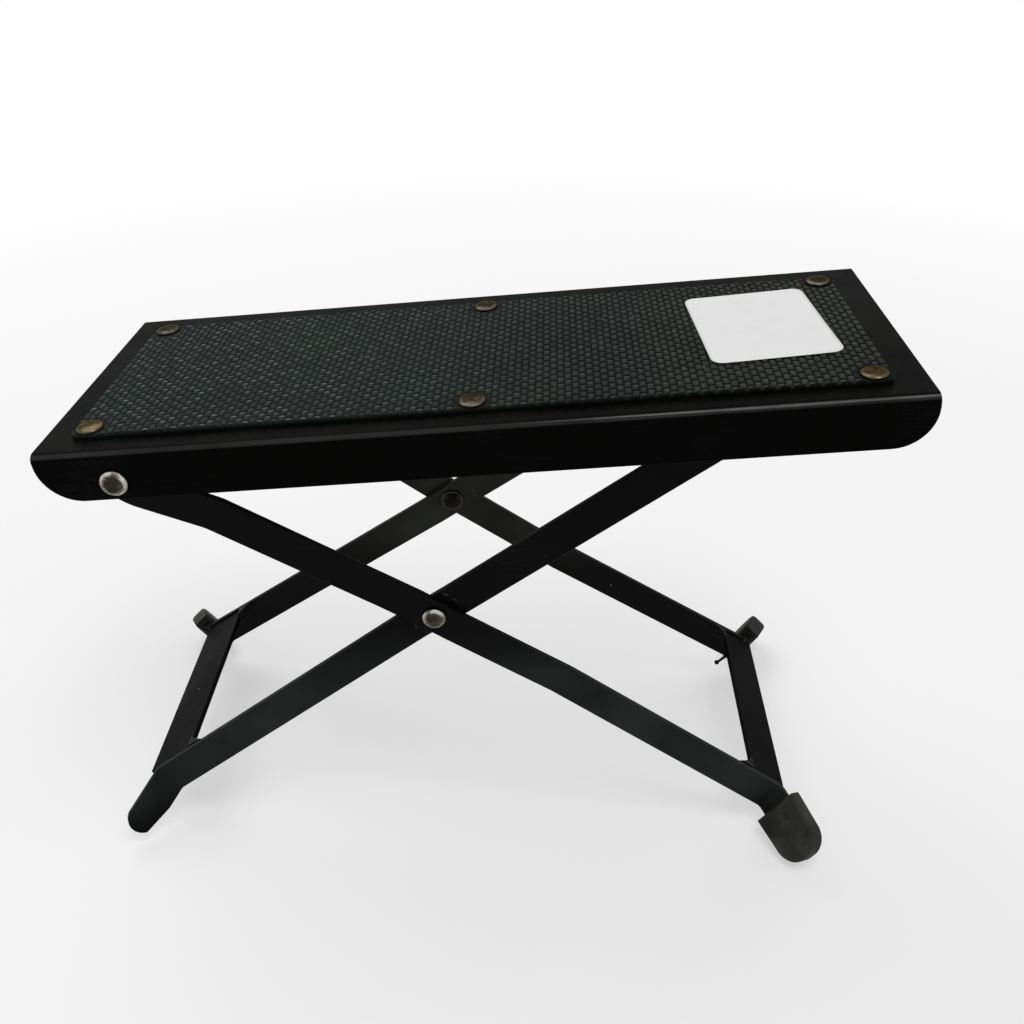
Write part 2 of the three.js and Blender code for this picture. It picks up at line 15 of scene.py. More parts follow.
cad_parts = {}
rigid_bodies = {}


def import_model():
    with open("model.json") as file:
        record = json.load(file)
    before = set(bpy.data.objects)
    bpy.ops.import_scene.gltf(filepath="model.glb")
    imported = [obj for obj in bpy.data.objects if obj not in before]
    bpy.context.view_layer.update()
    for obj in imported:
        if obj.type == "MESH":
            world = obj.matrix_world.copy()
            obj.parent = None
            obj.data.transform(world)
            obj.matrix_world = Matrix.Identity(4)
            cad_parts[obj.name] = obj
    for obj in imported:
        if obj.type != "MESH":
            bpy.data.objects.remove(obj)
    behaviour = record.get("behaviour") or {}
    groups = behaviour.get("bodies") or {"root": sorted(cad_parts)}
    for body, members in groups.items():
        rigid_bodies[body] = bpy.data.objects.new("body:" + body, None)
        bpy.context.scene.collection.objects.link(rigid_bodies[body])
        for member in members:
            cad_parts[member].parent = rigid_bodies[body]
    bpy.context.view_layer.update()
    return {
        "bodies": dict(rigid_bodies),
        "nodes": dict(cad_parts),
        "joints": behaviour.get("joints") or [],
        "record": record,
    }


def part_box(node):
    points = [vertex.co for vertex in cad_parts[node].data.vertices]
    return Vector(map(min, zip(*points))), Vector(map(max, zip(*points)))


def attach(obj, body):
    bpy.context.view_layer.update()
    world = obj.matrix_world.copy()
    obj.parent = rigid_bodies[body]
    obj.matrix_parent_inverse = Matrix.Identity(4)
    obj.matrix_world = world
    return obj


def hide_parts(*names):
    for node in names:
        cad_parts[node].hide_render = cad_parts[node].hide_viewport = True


LOG = logging.getLogger("footrest")
MM = 0.001
WHITE = (1.0, 1.0, 1.0, 1.0)

Socket = bpy.types.NodeSocket
Node = bpy.types.Node
Tree = bpy.types.NodeTree
Object = bpy.types.Object
Material = bpy.types.Material
Value = Socket | float | tuple[float, ...]
Colour = tuple[float, float, float, float]
Triple = tuple[float, float, float]
Ramp = tuple[float, ...]
Face = tuple[int, ...]


class Slot(Enum):
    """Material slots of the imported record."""

    WELD = "painted_weld"
    RIVET = "bright_rivet"
    MAT = "mat_rubber"


class Body(Enum):
    """Bodies of the frame that pieces ride on."""

    OUTER_LEGS = "outer_legs"
    INNER_LEGS = "inner_legs"
    HINGE_PINS = "hinge_pins"
    TREAD = "tread"


class Side(Enum):
    """The two long sides of the footrest."""

    NEAR = "near"
    FAR = "far"


@dataclass(frozen=True)
class Patches:
    """Noise drawn out into patches.

    Its waves per metre and octaves come first, then the noise values at which patches start and
    are full, then the results outside and inside them and the strength of the finer octaves.
    """

    scale: float
    detail: float
    start: float
    full: float
    least: float = 0.0
    most: float = 1.0
    rough: float = 0.55


class Graph:
    """Adds nodes to one node tree and links them."""

    columns: int = 9
    spacing: tuple[int, int] = (210, -260)

    def __init__(self, tree: Tree) -> None:
        """Keeps the tree that nodes are added to."""
        self.tree = tree
        self.count = 0

    def add(self, kind: str, inputs: dict[str | int, Value] | None = None, **settings: Any) -> Node:
        """Adds a node.

        Args:
            kind: The node's type name.
            inputs: Sockets or constants for its inputs, by name or number.
            settings: Properties to set on the node.

        Returns:
            The new node.
        """
        node = self.tree.nodes.new(kind)
        row, column = divmod(self.count, self.columns)
        node.location = (self.spacing[0] * column, self.spacing[1] * row)
        self.count += 1
        for name, value in settings.items():
            setattr(node, name, value)
        for name, value in (inputs or {}).items():
            self.feed(node.inputs[name], value)
        return node

    def feed(self, target: Socket, value: Value) -> None:
        """Links a socket to an input, or sets a constant on it.

        Args:
            target: The input.
            value: The socket or constant.
        """
        if isinstance(value, bpy.types.NodeSocket):
            self.tree.links.new(value, target)
        else:
            target.default_value = value

    def fill(self, node: Node, values: Iterable[Value]) -> Node:
        """Feeds a node's inputs in their order.

        Args:
            node: The node.
            values: Sockets or constants for its first inputs.

        Returns:
            The node.
        """
        for target, value in zip(node.inputs, values):
            self.feed(target, value)
        return node

    def math(self, operation: str, *values: Value, clamp: bool = False) -> Socket:
        """Adds a Math node and returns its result."""
        node = self.add("ShaderNodeMath", operation=operation, use_clamp=clamp)
        return self.fill(node, values).outputs[0]

    def product(self, first: Value, *others: Value, clamp: bool = False) -> Value:
        """Multiplies values.

        Args:
            first: The first value.
            others: What it is multiplied by.
            clamp: Whether the product is kept from 0 to 1.

        Returns:
            The product.
        """
        for other in others:
            first = self.math("MULTIPLY", first, other, clamp=clamp)
        return first

    def largest(self, first: Value, *others: Value) -> Value:
        """Compares values.

        Args:
            first: The first value.
            others: Those to compare it with.

        Returns:
            The largest of them.
        """
        for other in others:
            first = self.math("MAXIMUM", first, other)
        return first

    def off(self, value: Value, middle: Value) -> Socket:
        """Returns how far a value is from a middle, to either side."""
        return self.math("ABSOLUTE", self.math("SUBTRACT", value, middle))

    def vector(self, operation: str, *values: Value, output: str = "Vector") -> Socket:
        """Adds a Vector Math node and returns one of its outputs."""
        node = self.add("ShaderNodeVectorMath", operation=operation)
        return self.fill(node, values).outputs[output]

    def away(self, place: Value, axes: Triple) -> Socket:
        """Returns how far a place lies from the origin, measured along the axes that are 1."""
        return self.vector("LENGTH", self.vector("MULTIPLY", place, axes), output="Value")

    def split(self, vector: Socket) -> Any:
        """Returns a vector's outputs X, Y and Z."""
        return self.add("ShaderNodeSeparateXYZ", {"Vector": vector}).outputs

    def remap(
        self, value: Value, low: Value, high: Value, to_low: Value = 0.0, to_high: Value = 1.0
    ) -> Socket:
        """Maps a value from one range to another with smooth ends.

        Args:
            value: The value to map.
            low: Start of its range.
            high: End of its range.
            to_low: Result at low and below.
            to_high: Result at high and above.

        Returns:
            The mapped value.
        """
        node = self.add("ShaderNodeMapRange", interpolation_type="SMOOTHSTEP")
        return self.fill(node, (value, low, high, to_low, to_high)).outputs[0]

    def mix(self, factor: Value, first: Value, second: Value) -> Socket:
        """Mixes two colours by a factor and returns the colour."""
        node = self.add("ShaderNodeMix", {0: factor, 6: first, 7: second}, data_type="RGBA")
        return node.outputs[2]

    def noise(
        self, place: Value, scale: Value, detail: float = 3.0, rough: float = 0.55
    ) -> Socket:
        """Adds a Noise Texture and returns its value, from 0 to 1.

        Args:
            place: Coordinates to read it at.
            scale: Waves per metre.
            detail: Number of octaves.
            rough: Strength of the finer octaves.

        Returns:
            The noise value.
        """
        inputs = {"Vector": place, "Scale": scale, "Detail": detail, "Roughness": rough}
        return self.add("ShaderNodeTexNoise", inputs).outputs[0]

    def patches(self, place: Value, kind: Patches, scale: Value | None = None) -> Socket:
        """Adds noise that is drawn out into patches.

        Args:
            place: Coordinates to read it at.
            kind: What the patches are like.
            scale: Waves per metre, where they aren't those of the kind.

        Returns:
            The patches' value.
        """
        waves = kind.scale if scale is None else scale
        noise = self.noise(place, waves, kind.detail, kind.rough)
        return self.remap(noise, kind.start, kind.full, kind.least, kind.most)

    def place(self) -> Socket:
        """Returns the piece's own coordinates, in metres."""
        return self.add("ShaderNodeTexCoord").outputs["Object"]

    def stored(self, name: str) -> Socket:
        """Returns a value that is kept on the piece's vertices."""
        return self.add("ShaderNodeAttribute", attribute_name=name).outputs["Fac"]

    def bump(self, height: Socket, depth: float) -> Socket:
        """Turns a height from 0 to 1 into a normal, for a relief of a depth in metres."""
        return self.add("ShaderNodeBump", {"Distance": depth, "Height": height}).outputs[0]


class Effect(Enum):
    """Surface effects that more than one finish uses."""

    EDGE_WEAR = "edge wear"
    DUST = "dust"
    SPECKS = "specks"
    PEEL = "sprayed relief"
    CLOUDS = "clouded gloss"
    SCUFFS = "scuffs"


class EffectLibrary:
    """Builds each effect's node group once."""

    worn_turn: Ramp = (0.015, 0.14)
    worn_patches: Patches = Patches(700.0, 4.0, 0.42, 0.62, least=0.25, rough=0.65)
    bevel_samples: int = 6
    dusty_facing: Ramp = (0.2, 0.95)
    dust_drifts: Patches = Patches(38.0, 5.0, 0.38, 0.72)
    dust_grains: Patches = Patches(900.0, 2.0, 0.35, 0.75, least=0.3)
    speck_core_share: float = 0.55
    peel_finer: float = 5.3
    cloud_ends: Ramp = (0.32, 0.68)
    noise_middle: float = 0.5
    scuff_turns: tuple[Triple, ...] = ((0.0, 0.5, 0.6), (0.0, -0.9, 0.25))
    scuff_stretch: Triple = (1.0, 9.0, 22.0)
    scuff_width: float = 0.012
    scuffed_patches: Patches = Patches(24.0, 2.0, 0.5, 0.7)

    def __init__(self) -> None:
        """Starts with no group built."""
        self.groups: dict[Effect, Tree] = {}
        self.makers: dict[Effect, Callable[[], Tree]] = {
            Effect.EDGE_WEAR: self.edge_wear,
            Effect.DUST: self.dust,
            Effect.SPECKS: self.specks,
            Effect.PEEL: self.peel,
            Effect.CLOUDS: self.clouds,
            Effect.SCUFFS: self.scuffs,
        }

    def group(self, effect: Effect) -> Tree:
        """Builds an effect's node group, unless it is there already.

        Args:
            effect: The effect.

        Returns:
            The node group.
        """
        if effect not in self.groups:
            self.groups[effect] = self.makers[effect]()
        return self.groups[effect]

    def start(
        self, effect: Effect, output: str, **inputs: float
    ) -> tuple[Graph, dict[str, Socket], Socket]:
        """Makes an empty group with its sockets.

        Args:
            effect: The effect that the group is for.
            output: Name of its output.
            inputs: Its inputs in lower case, with their usual values.

        Returns:
            The group's graph, its inputs in lower case, and its output.
        """
        tree = bpy.data.node_groups.new(effect.value, "ShaderNodeTree")
        kind = "NodeSocketFloat"
        for name, usual in inputs.items():
            socket = tree.interface.new_socket(
                name.capitalize(), in_out="INPUT", socket_type=kind
            )
            socket.default_value = usual
        tree.interface.new_socket(output, in_out="OUTPUT", socket_type=kind)
        graph = Graph(tree)
        source = graph.add("NodeGroupInput")
        target = graph.add("NodeGroupOutput")
        given = {name: source.outputs[name.capitalize()] for name in inputs}
        return graph, given, target.inputs[output]

    def edge_wear(self) -> Tree:
        """Builds a mask that is 1 on worn outer edges and 0 on open faces.

        Returns:
            The node group.
        """
        graph, given, out = self.start(Effect.EDGE_WEAR, "Mask", radius=0.6 * MM, amount=1.0)
        inputs = {"Radius": given["radius"]}
        bevel = graph.add("ShaderNodeBevel", inputs, samples=self.bevel_samples)
        flat = graph.add("ShaderNodeNewGeometry").outputs["Normal"]
        agree = graph.vector("DOT_PRODUCT", bevel.outputs[0], flat, output="Value")
        edge = graph.remap(graph.math("SUBTRACT", 1.0, agree), *self.worn_turn)
        gate = graph.patches(graph.place(), self.worn_patches)
        graph.feed(out, graph.product(edge, gate, given["amount"], clamp=True))
        return graph.tree

    def dust(self) -> Tree:
        """Builds a mask of thin dust on faces that look up.

        Returns:
            The node group.
        """
        graph, given, out = self.start(Effect.DUST, "Mask", amount=0.3, grain=900.0)
        normal = graph.add("ShaderNodeNewGeometry").outputs["Normal"]
        facing = graph.remap(graph.split(normal)["Z"], *self.dusty_facing)
        place = graph.place()
        drifts = graph.patches(place, self.dust_drifts)
        grains = graph.patches(place, self.dust_grains, given["grain"])
        graph.feed(out, graph.product(drifts, grains, facing, given["amount"], clamp=True))
        return graph.tree

    def specks(self) -> Tree:
        """Builds a mask of sparse tiny light specks.

        Returns:
            The node group.
        """
        graph, given, out = self.start(Effect.SPECKS, "Mask", scale=260.0, share=0.05, size=0.16)
        inputs = {"Vector": graph.place(), "Scale": given["scale"], "Randomness": 1.0}
        cells = graph.add("ShaderNodeTexVoronoi", inputs).outputs
        lot = graph.add("ShaderNodeSeparateColor", {"Color": cells["Color"]}).outputs[0]
        chosen = graph.math("LESS_THAN", lot, given["share"])
        core = graph.product(given["size"], self.speck_core_share)
        dot = graph.remap(cells["Distance"], core, given["size"], 1.0, 0.0)
        graph.feed(out, graph.product(chosen, dot, clamp=True))
        return graph.tree

    def peel(self) -> Tree:
        """Builds the height of a sprayed or moulded skin: soft waves with a finer grain.

        Returns:
            The node group.
        """
        graph, given, out = self.start(Effect.PEEL, "Height", scale=650.0, grain=0.3)
        place = graph.place()
        waves = graph.noise(place, given["scale"], detail=1.5, rough=0.4)
        fine = graph.noise(place, graph.product(given["scale"], self.peel_finer), detail=2.0)
        graph.feed(out, graph.math("MULTIPLY_ADD", fine, given["grain"], waves))
        return graph.tree

    def clouds(self) -> Tree:
        """Builds a roughness that drifts between two values, as on a handled surface.

        Returns:
            The node group.
        """
        graph, given, out = self.start(Effect.CLOUDS, "Roughness", scale=55.0, low=0.3, high=0.5)
        drift = graph.noise(graph.place(), given["scale"], detail=6.0, rough=0.6)
        graph.feed(out, graph.remap(drift, *self.cloud_ends, given["low"], given["high"]))
        return graph.tree

    def scuffs(self) -> Tree:
        """Builds a mask of fine scratches that run in two directions.

        Returns:
            The node group.
        """
        graph, given, out = self.start(Effect.SCUFFS, "Mask", scale=60.0, amount=0.5)
        place = graph.place()
        lines = []
        for turn in self.scuff_turns:
            inputs = {"Vector": place, "Rotation": turn, "Scale": self.scuff_stretch}
            drawn = graph.add("ShaderNodeMapping", inputs).outputs[0]
            value = graph.noise(drawn, given["scale"], detail=3.0, rough=0.5)
            off = graph.off(value, self.noise_middle)
            lines.append(graph.remap(off, 0.0, self.scuff_width, 1.0, 0.0))
        where = graph.patches(place, self.scuffed_patches)
        mask = graph.product(graph.largest(*lines), where, given["amount"], clamp=True)
        graph.feed(out, mask)
        return graph.tree


def cleared(owner: Material | bpy.types.World) -> Tree:
    """Empties the node tree of a material or world.

    Args:
        owner: The material or world.

    Returns:
        Its node tree.
    """
    owner.use_nodes = True
    owner.node_tree.nodes.clear()
    return owner.node_tree


class Skin(Graph):
    """A material's graph, with its Principled shader and the shared effects at hand."""

    def __init__(self, made: Material, effects: EffectLibrary) -> None:
        """Gives an empty material its shader and output.

        Args:
            made: The material.
            effects: The shared effects.
        """
        super().__init__(cleared(made))
        self.effects = effects
        shader = self.add("ShaderNodeBsdfPrincipled")
        self.add("ShaderNodeOutputMaterial", {"Surface": shader.outputs[0]})
        self.inputs = shader.inputs

    def set(self, name: str, value: Value) -> None:
        """Feeds one of the shader's inputs."""
        self.feed(self.inputs[name], value)

    def put(self, effect: Effect, **values: float) -> Socket:
        """Places an effect.

        Args:
            effect: The effect.
            values: Its inputs, in lower case.

        Returns:
            Its output.
        """
        node = self.add("ShaderNodeGroup", node_tree=self.effects.group(effect))
        for name, value in values.items():
            self.feed(node.inputs[name.capitalize()], value)
        return node.outputs[0]


@dataclass(frozen=True)
class Finish(ABC):
    """A finish that can make its material."""

    name: str

    def material(self, effects: EffectLibrary) -> Material:
        """Makes the finish's material.

        Args:
            effects: The shared effects.

        Returns:
            The material.
        """
        made = bpy.data.materials.new(self.name)
        self.paint(Skin(made, effects))
        return made

    @abstractmethod
    def paint(self, skin: Skin) -> None:
        """Feeds the shader's inputs."""


@dataclass(frozen=True)
class Enamel(Finish):
    """Satin black enamel on steel, paler where its edges have rubbed."""

    base: Colour = (0.003, 0.003, 0.0032, 1.0)
    worn: Colour = (0.03, 0.03, 0.031, 1.0)
    dust: Colour = (0.055, 0.052, 0.045, 1.0)
    fleck: Colour = (0.45, 0.44, 0.41, 1.0)
    wear: float = 0.75
    dusty: float = 0.1
    specular: float = 0.035
    matt: float = 0.25
    relief: float = 0.02 * MM
    polish: float = 0.0
    polish_roughness: float = 0.12
    bends: Ramp = (0.36, 0.48)
    handled: Patches = Patches(30.0, 3.0, 0.3, 0.6, least=0.55)

    def paint(self, skin: Skin) -> None:
        """Lays worn edges, scuffs and dust over the black.

        Args:
            skin: The material's graph, with the shader's inputs.
        """
        edge = skin.put(Effect.EDGE_WEAR, radius=0.5 * MM, amount=self.wear)
        scuff = skin.put(Effect.SCUFFS, scale=60.0, amount=0.35)
        dust = skin.put(Effect.DUST, amount=self.dusty, grain=1400.0)
        speck = skin.put(Effect.SPECKS, scale=210.0, share=0.012, size=0.07)
        rubbed = skin.mix(skin.largest(edge, scuff), self.base, self.worn)
        flecked = skin.mix(speck, skin.mix(dust, rubbed, self.dust), self.fleck)
        skin.set("Base Color", self.covered(skin, flecked))
        cloud = skin.put(Effect.CLOUDS, scale=48.0, low=0.34, high=0.46)
        dull = skin.largest(edge, dust)
        skin.set("Roughness", skin.math("MULTIPLY_ADD", dull, self.matt, cloud, clamp=True))
        height = skin.put(Effect.PEEL, scale=520.0, grain=0.15)
        skin.set("Normal", skin.bump(height, self.relief))
        skin.set("Specular IOR Level", self.specular)
        if self.polish > 0:
            skin.set("Coat Weight", self.polished(skin))
            skin.set("Coat Roughness", self.polish_roughness)

    def covered(self, skin: Skin, enamel: Socket) -> Socket:
        """Returns the enamel's colour with what lies over it."""
        return enamel

    def polished(self, skin: Skin) -> Value:
        """Masks the long bends, which shoes and hands have polished.

        Args:
            skin: The material's graph, with the shader's inputs.

        Returns:
            The mask.
        """
        facing = skin.split(skin.add("ShaderNodeTexCoord").outputs["Normal"])
        between = skin.product(skin.math("ABSOLUTE", facing["Y"]), facing["Z"])
        worn_on = skin.patches(skin.place(), self.handled)
        return skin.product(skin.remap(between, *self.bends), worn_on, self.polish)


@dataclass(frozen=True)
class LegEnamel(Enamel):
    """The same enamel under a painted sheen: a thin pale grey layer that stands in for a
    reflection, laid on the bars between two heights.
    """

    painted_sheen: Colour = (0.0235, 0.0265, 0.026, 1.0)
    sheen_band: Ramp = (6 * MM, 24 * MM, 66 * MM, 104 * MM)
    drift: Patches = Patches(26.0, 3.0, 0.25, 0.65, least=0.35)

    def covered(self, skin: Skin, enamel: Socket) -> Socket:
        """Lays the painted sheen over the enamel's colour.

        Args:
            skin: The material's graph, with the shader's inputs.
            enamel: The enamel's colour.

        Returns:
            The colour with the painted sheen over it.
        """
        place = skin.place()
        height = skin.split(place)["Z"]
        start, full, fading, gone = self.sheen_band
        rising = skin.remap(height, start, full)
        falling = skin.remap(height, fading, gone, 1.0, 0.0)
        # painted sheen: pale grey in a band of heights, in patches, standing in for a reflection on
        # the bars
        sheen_mask = skin.product(rising, falling, skin.patches(place, self.drift))
        return skin.mix(sheen_mask, enamel, self.painted_sheen)


@dataclass(frozen=True)
class PivotEnamel(LegEnamel):
    """The same enamel, with an arc rubbed pale round a pivot by the leg that turns on it."""

    pivot: Triple = (0.0, 0.0, 0.0)
    radius: float = 10.5 * MM
    half_width: float = 0.4 * MM
    rubbed: Colour = (0.075, 0.07, 0.06, 1.0)
    broken: Patches = Patches(420.0, 4.0, 0.5, 0.62, most=0.7)

    def covered(self, skin: Skin, enamel: Socket) -> Socket:
        """Lays the rubbed arc over the painted sheen.

        Args:
            skin: The material's graph, with the shader's inputs.
            enamel: The enamel's colour.

        Returns:
            The colour with the painted sheen and the arc over it.
        """
        place = skin.place()
        away = skin.away(skin.vector("SUBTRACT", place, self.pivot), (1.0, 0.0, 1.0))
        ring = skin.remap(skin.off(away, self.radius), 0.0, self.half_width, 1.0, 0.0)
        arc = skin.product(ring, skin.patches(place, self.broken))
        return skin.mix(arc, super().covered(skin, enamel), self.rubbed)


@dataclass(frozen=True)
class WeldEnamel(Finish):
    """A rippled weld fillet under the same black enamel."""

    base: Colour = (0.0035, 0.0035, 0.0036, 1.0)
    worn: Colour = (0.04, 0.038, 0.034, 1.0)
    dust: Colour = (0.06, 0.055, 0.045, 1.0)
    specular: float = 0.04
    ripple: float = 0.12 * MM
    lumpiness: float = 0.6
    crests: Ramp = (0.8, 1.0, 0.0, 0.22)

    def paint(self, skin: Skin) -> None:
        """Lays ripples, worn crests and dust over the black.

        Args:
            skin: The material's graph, with the shader's inputs.
        """
        place = skin.place()
        warp = skin.noise(place, scale=260.0, detail=2.0)
        inputs = {"Vector": place, "Scale": 210.0, "Distortion": 7.0, "Detail": 2.0}
        waves = skin.add("ShaderNodeTexWave", inputs, bands_direction="DIAGONAL").outputs[1]
        lumps = skin.math("MULTIPLY_ADD", warp, self.lumpiness, waves)
        skin.set("Normal", skin.bump(lumps, self.ripple))
        edge = skin.put(Effect.EDGE_WEAR, radius=0.7 * MM, amount=0.4)
        bare = skin.largest(skin.remap(waves, *self.crests), edge)
        dust = skin.put(Effect.DUST, amount=0.12, grain=1400.0)
        rubbed = skin.mix(bare, self.base, self.worn)
        skin.set("Base Color", skin.mix(dust, rubbed, self.dust))
        skin.set("Roughness", skin.put(Effect.CLOUDS, scale=90.0, low=0.28, high=0.45))
        skin.set("Specular IOR Level", self.specular)


@dataclass(frozen=True)
class Nickel(Finish):
    """Worn nickel on a rivet: brown patches, a dark core that is a painted dark reflection, a pale
    rim that is partly rubbed wear and partly a painted highlight, and a darker, duller tail.
    """

    bright: Colour = (0.24, 0.22, 0.17, 1.0)
    brown: Colour = (0.026, 0.018, 0.011, 1.0)
    rubbed: Colour = (0.19, 0.175, 0.145, 1.0)
    darker_metal: Colour = (0.008, 0.007, 0.006, 1.0)
    grazing: Colour = (0.47, 0.467, 0.425, 1.0)
    tarnish: float = 0.5
    painted_dark_core: float = 0.6
    gloss: tuple[float, float] = (0.16, 0.32)
    fine_share: float = 0.4
    stain_least: float = 0.86
    stain_spread: float = 0.3
    stain_edge: tuple[float, float] = (-0.14, 0.08)
    stain_most: float = 0.85
    patch_middle: float = 0.7
    core_ragged: float = 1.7
    core_edge: tuple[float, float] = (0.5, 0.85)
    rim_inside: Ramp = (0.66, 0.84)
    rim_outside: Ramp = (0.93, 0.99, 1.0, 0.0)
    rim_broken: Ramp = (0.4, 0.6, 0.15, 0.9)
    foot: Ramp = (0.94, 1.0, 0.0, 0.85)
    tail: Ramp = (0.45, 0.5, 0.94, 0.0)
    matt: float = 0.22
    relief: float = 0.16 * MM

    def paint(self, skin: Skin) -> None:
        """Mixes pale and brown metal with the painted dark core, a pale rim that is partly a
        painted highlight and darker metal at the foot and tail, and roughens the brown.

        Args:
            skin: The material's graph, with the shader's inputs.
        """
        place = skin.place()
        blotches = skin.noise(place, scale=260.0, detail=2.0, rough=0.5)
        fine = skin.noise(place, scale=1200.0, detail=4.0, rough=0.65)
        patches = skin.math("MULTIPLY_ADD", fine, self.fine_share, blotches)
        # brown stains and the ragged dark core, which is a painted dark reflection
        stain_and_dark_reflection = self.stains_and_dark_reflection(skin, patches)
        off_axis = skin.stored(RivetForm.OFF_AXIS)
        ring = skin.product(
            skin.remap(off_axis, *self.rim_inside), skin.remap(off_axis, *self.rim_outside)
        )
        # a pale ring near the head's edge, partly rubbed wear and partly a painted highlight
        rim = skin.product(ring, skin.remap(blotches, *self.rim_broken))
        scuff = skin.put(Effect.SCUFFS, scale=260.0, amount=0.06)
        metal = skin.mix(stain_and_dark_reflection, self.bright, self.brown)
        lit_rim_and_scratches = skin.mix(skin.largest(rim, scuff), metal, self.rubbed)
        # darker metal at the head's foot and on the tail
        tail = skin.remap(skin.stored(RivetForm.ALONG), *self.tail)
        darker_foot_and_tail = skin.largest(skin.remap(off_axis, *self.foot), tail)
        skin.set("Base Color", skin.mix(darker_foot_and_tail, lit_rim_and_scratches, self.darker_metal))
        low, high = self.gloss
        cloud = skin.put(Effect.CLOUDS, scale=300.0, low=low, high=high)
        dull = skin.largest(stain_and_dark_reflection, darker_foot_and_tail)
        skin.set("Roughness", skin.math("MULTIPLY_ADD", dull, self.matt, cloud, clamp=True))
        height = skin.put(Effect.PEEL, scale=420.0, grain=0.2)
        skin.set("Normal", skin.bump(height, self.relief))
        skin.set("Metallic", 1.0)
        skin.set("Specular Tint", self.grazing)

    def stains_and_dark_reflection(self, skin: Skin, patches: Socket) -> Value:
        """Masks the brown stains and the ragged dark core, which is a painted dark reflection.

        Args:
            skin: The material's graph, with the shader's inputs.
            patches: The noise that their edges follow.

        Returns:
            The mask.
        """
        edge = self.stain_least - self.stain_spread * self.tarnish
        start, full = (edge + step for step in self.stain_edge)
        stains = skin.remap(patches, start, full, 0.0, self.stain_most)
        drift = skin.math("SUBTRACT", patches, self.patch_middle)
        ragged = skin.math(
            "MULTIPLY_ADD", drift, self.core_ragged, skin.stored(RivetForm.DARK_REFLECTION)
        )
        return skin.largest(stains, skin.remap(ragged, *self.core_edge, self.painted_dark_core, 0.0))


@dataclass(frozen=True)
class DarkSteel(Finish):
    """Plain steel, darkened, with faint lines from the lathe."""

    base: Colour = (0.035, 0.034, 0.032, 1.0)
    rust: Colour = (0.06, 0.035, 0.02, 1.0)
    bare: Colour = (0.07, 0.067, 0.06, 1.0)
    stains: Patches = Patches(210.0, 5.0, 0.55, 0.75, most=0.5)
    drawn_out: Triple = (1.0, 0.02, 1.0)
    line_depth: float = 0.03 * MM

    def paint(self, skin: Skin) -> None:
        """Stains the steel and scores it.

        Args:
            skin: The material's graph, with the shader's inputs.
        """
        place = skin.place()
        aged = skin.mix(skin.patches(place, self.stains), self.base, self.rust)
        edge = skin.put(Effect.EDGE_WEAR, radius=0.4 * MM, amount=0.5)
        skin.set("Base Color", skin.mix(edge, aged, self.bare))
        skin.set("Roughness", skin.put(Effect.CLOUDS, scale=160.0, low=0.32, high=0.52))
        drawn = skin.vector("MULTIPLY", place, self.drawn_out)
        lines = skin.noise(drawn, scale=2600.0, detail=2.0)
        skin.set("Normal", skin.bump(lines, self.line_depth))
        skin.set("Metallic", 1.0)


@dataclass(frozen=True)
class WovenRubber(Finish):
    """Dark grey-green rubber whose raised weave has painted light on its crowns, in patches,
    painted shade in its valleys and painted glints at its dash ends.
    """

    shaded_valley: Colour = (0.009, 0.0122, 0.0112, 1.0)
    darker_shaded_valley: Colour = (0.0032, 0.0036, 0.003, 1.0)
    crown: Colour = (0.014, 0.0202, 0.0184, 1.0)
    painted_glint: Colour = (0.125, 0.145, 0.135, 1.0)
    greener: Colour = (0.0165, 0.0255, 0.0185, 1.0)
    browner: Colour = (0.0285, 0.0315, 0.0245, 1.0)
    lint: Colour = (0.3, 0.32, 0.29, 1.0)
    dust: Colour = (0.045, 0.052, 0.044, 1.0)
    green_patches: Patches = Patches(34.0, 4.0, 0.5, 0.72)
    crown_light_patches: Patches = Patches(46.0, 6.0, 0.3, 0.7, least=0.55, rough=0.6)
    brown_end: Ramp = (0.03, 0.13, 0.0, 0.85)
    valley_shade_to_right: Ramp = (-0.08, 0.08)
    crown_light_rise: Ramp = (0.25, 0.8)
    glint_rise: Ramp = (0.15, 0.85)
    glint_fade: Ramp = (-0.13, 0.06, 0.9, 0.2)
    lint_share: float = 0.5
    roughness: Ramp = (0.2, 1.0, 0.8, 0.52)
    relief: float = 0.07 * MM
    specular: float = 0.05

    def paint(self, skin: Skin) -> None:
        """Colours the weave by its height, as painted light on the crowns and painted shade in the
        valleys, adds painted glints, and strews lint and dust on it.

        Args:
            skin: The material's graph, with the shader's inputs.
        """
        height = skin.stored(RubberMat.CROWN)
        place = skin.place()
        along = skin.split(place)["X"]
        green = skin.mix(skin.patches(place, self.green_patches), self.crown, self.greener)
        toned = skin.mix(skin.remap(along, *self.brown_end), green, self.browner)
        rubbed = skin.patches(place, self.crown_light_patches)
        # painted light on the crowns and painted shade in the valleys, in patches; the valleys are
        # painted darker towards the right
        top = skin.product(skin.remap(height, *self.crown_light_rise), rubbed)
        shaded_valley = skin.mix(skin.remap(along, *self.valley_shade_to_right), self.shaded_valley, self.darker_shaded_valley)
        # painted glints near one end of each dash, fading towards the right
        painted_glints = skin.remap(skin.stored(RubberMat.GLINT), *self.glint_rise)
        glint = skin.product(painted_glints, skin.remap(along, *self.glint_fade))
        rubber = skin.mix(glint, skin.mix(top, shaded_valley, toned), self.painted_glint)
        lint = skin.put(Effect.SPECKS, scale=430.0, share=0.07, size=0.17)
        flecked = skin.mix(skin.product(lint, self.lint_share), rubber, self.lint)
        dust = skin.put(Effect.DUST, amount=0.1, grain=2200.0)
        skin.set("Base Color", skin.mix(dust, flecked, self.dust))
        skin.set("Roughness", skin.remap(height, *self.roughness))
        grain = skin.put(Effect.PEEL, scale=2400.0, grain=0.6)
        skin.set("Normal", skin.bump(grain, self.relief))
        skin.set("Specular IOR Level", self.specular)


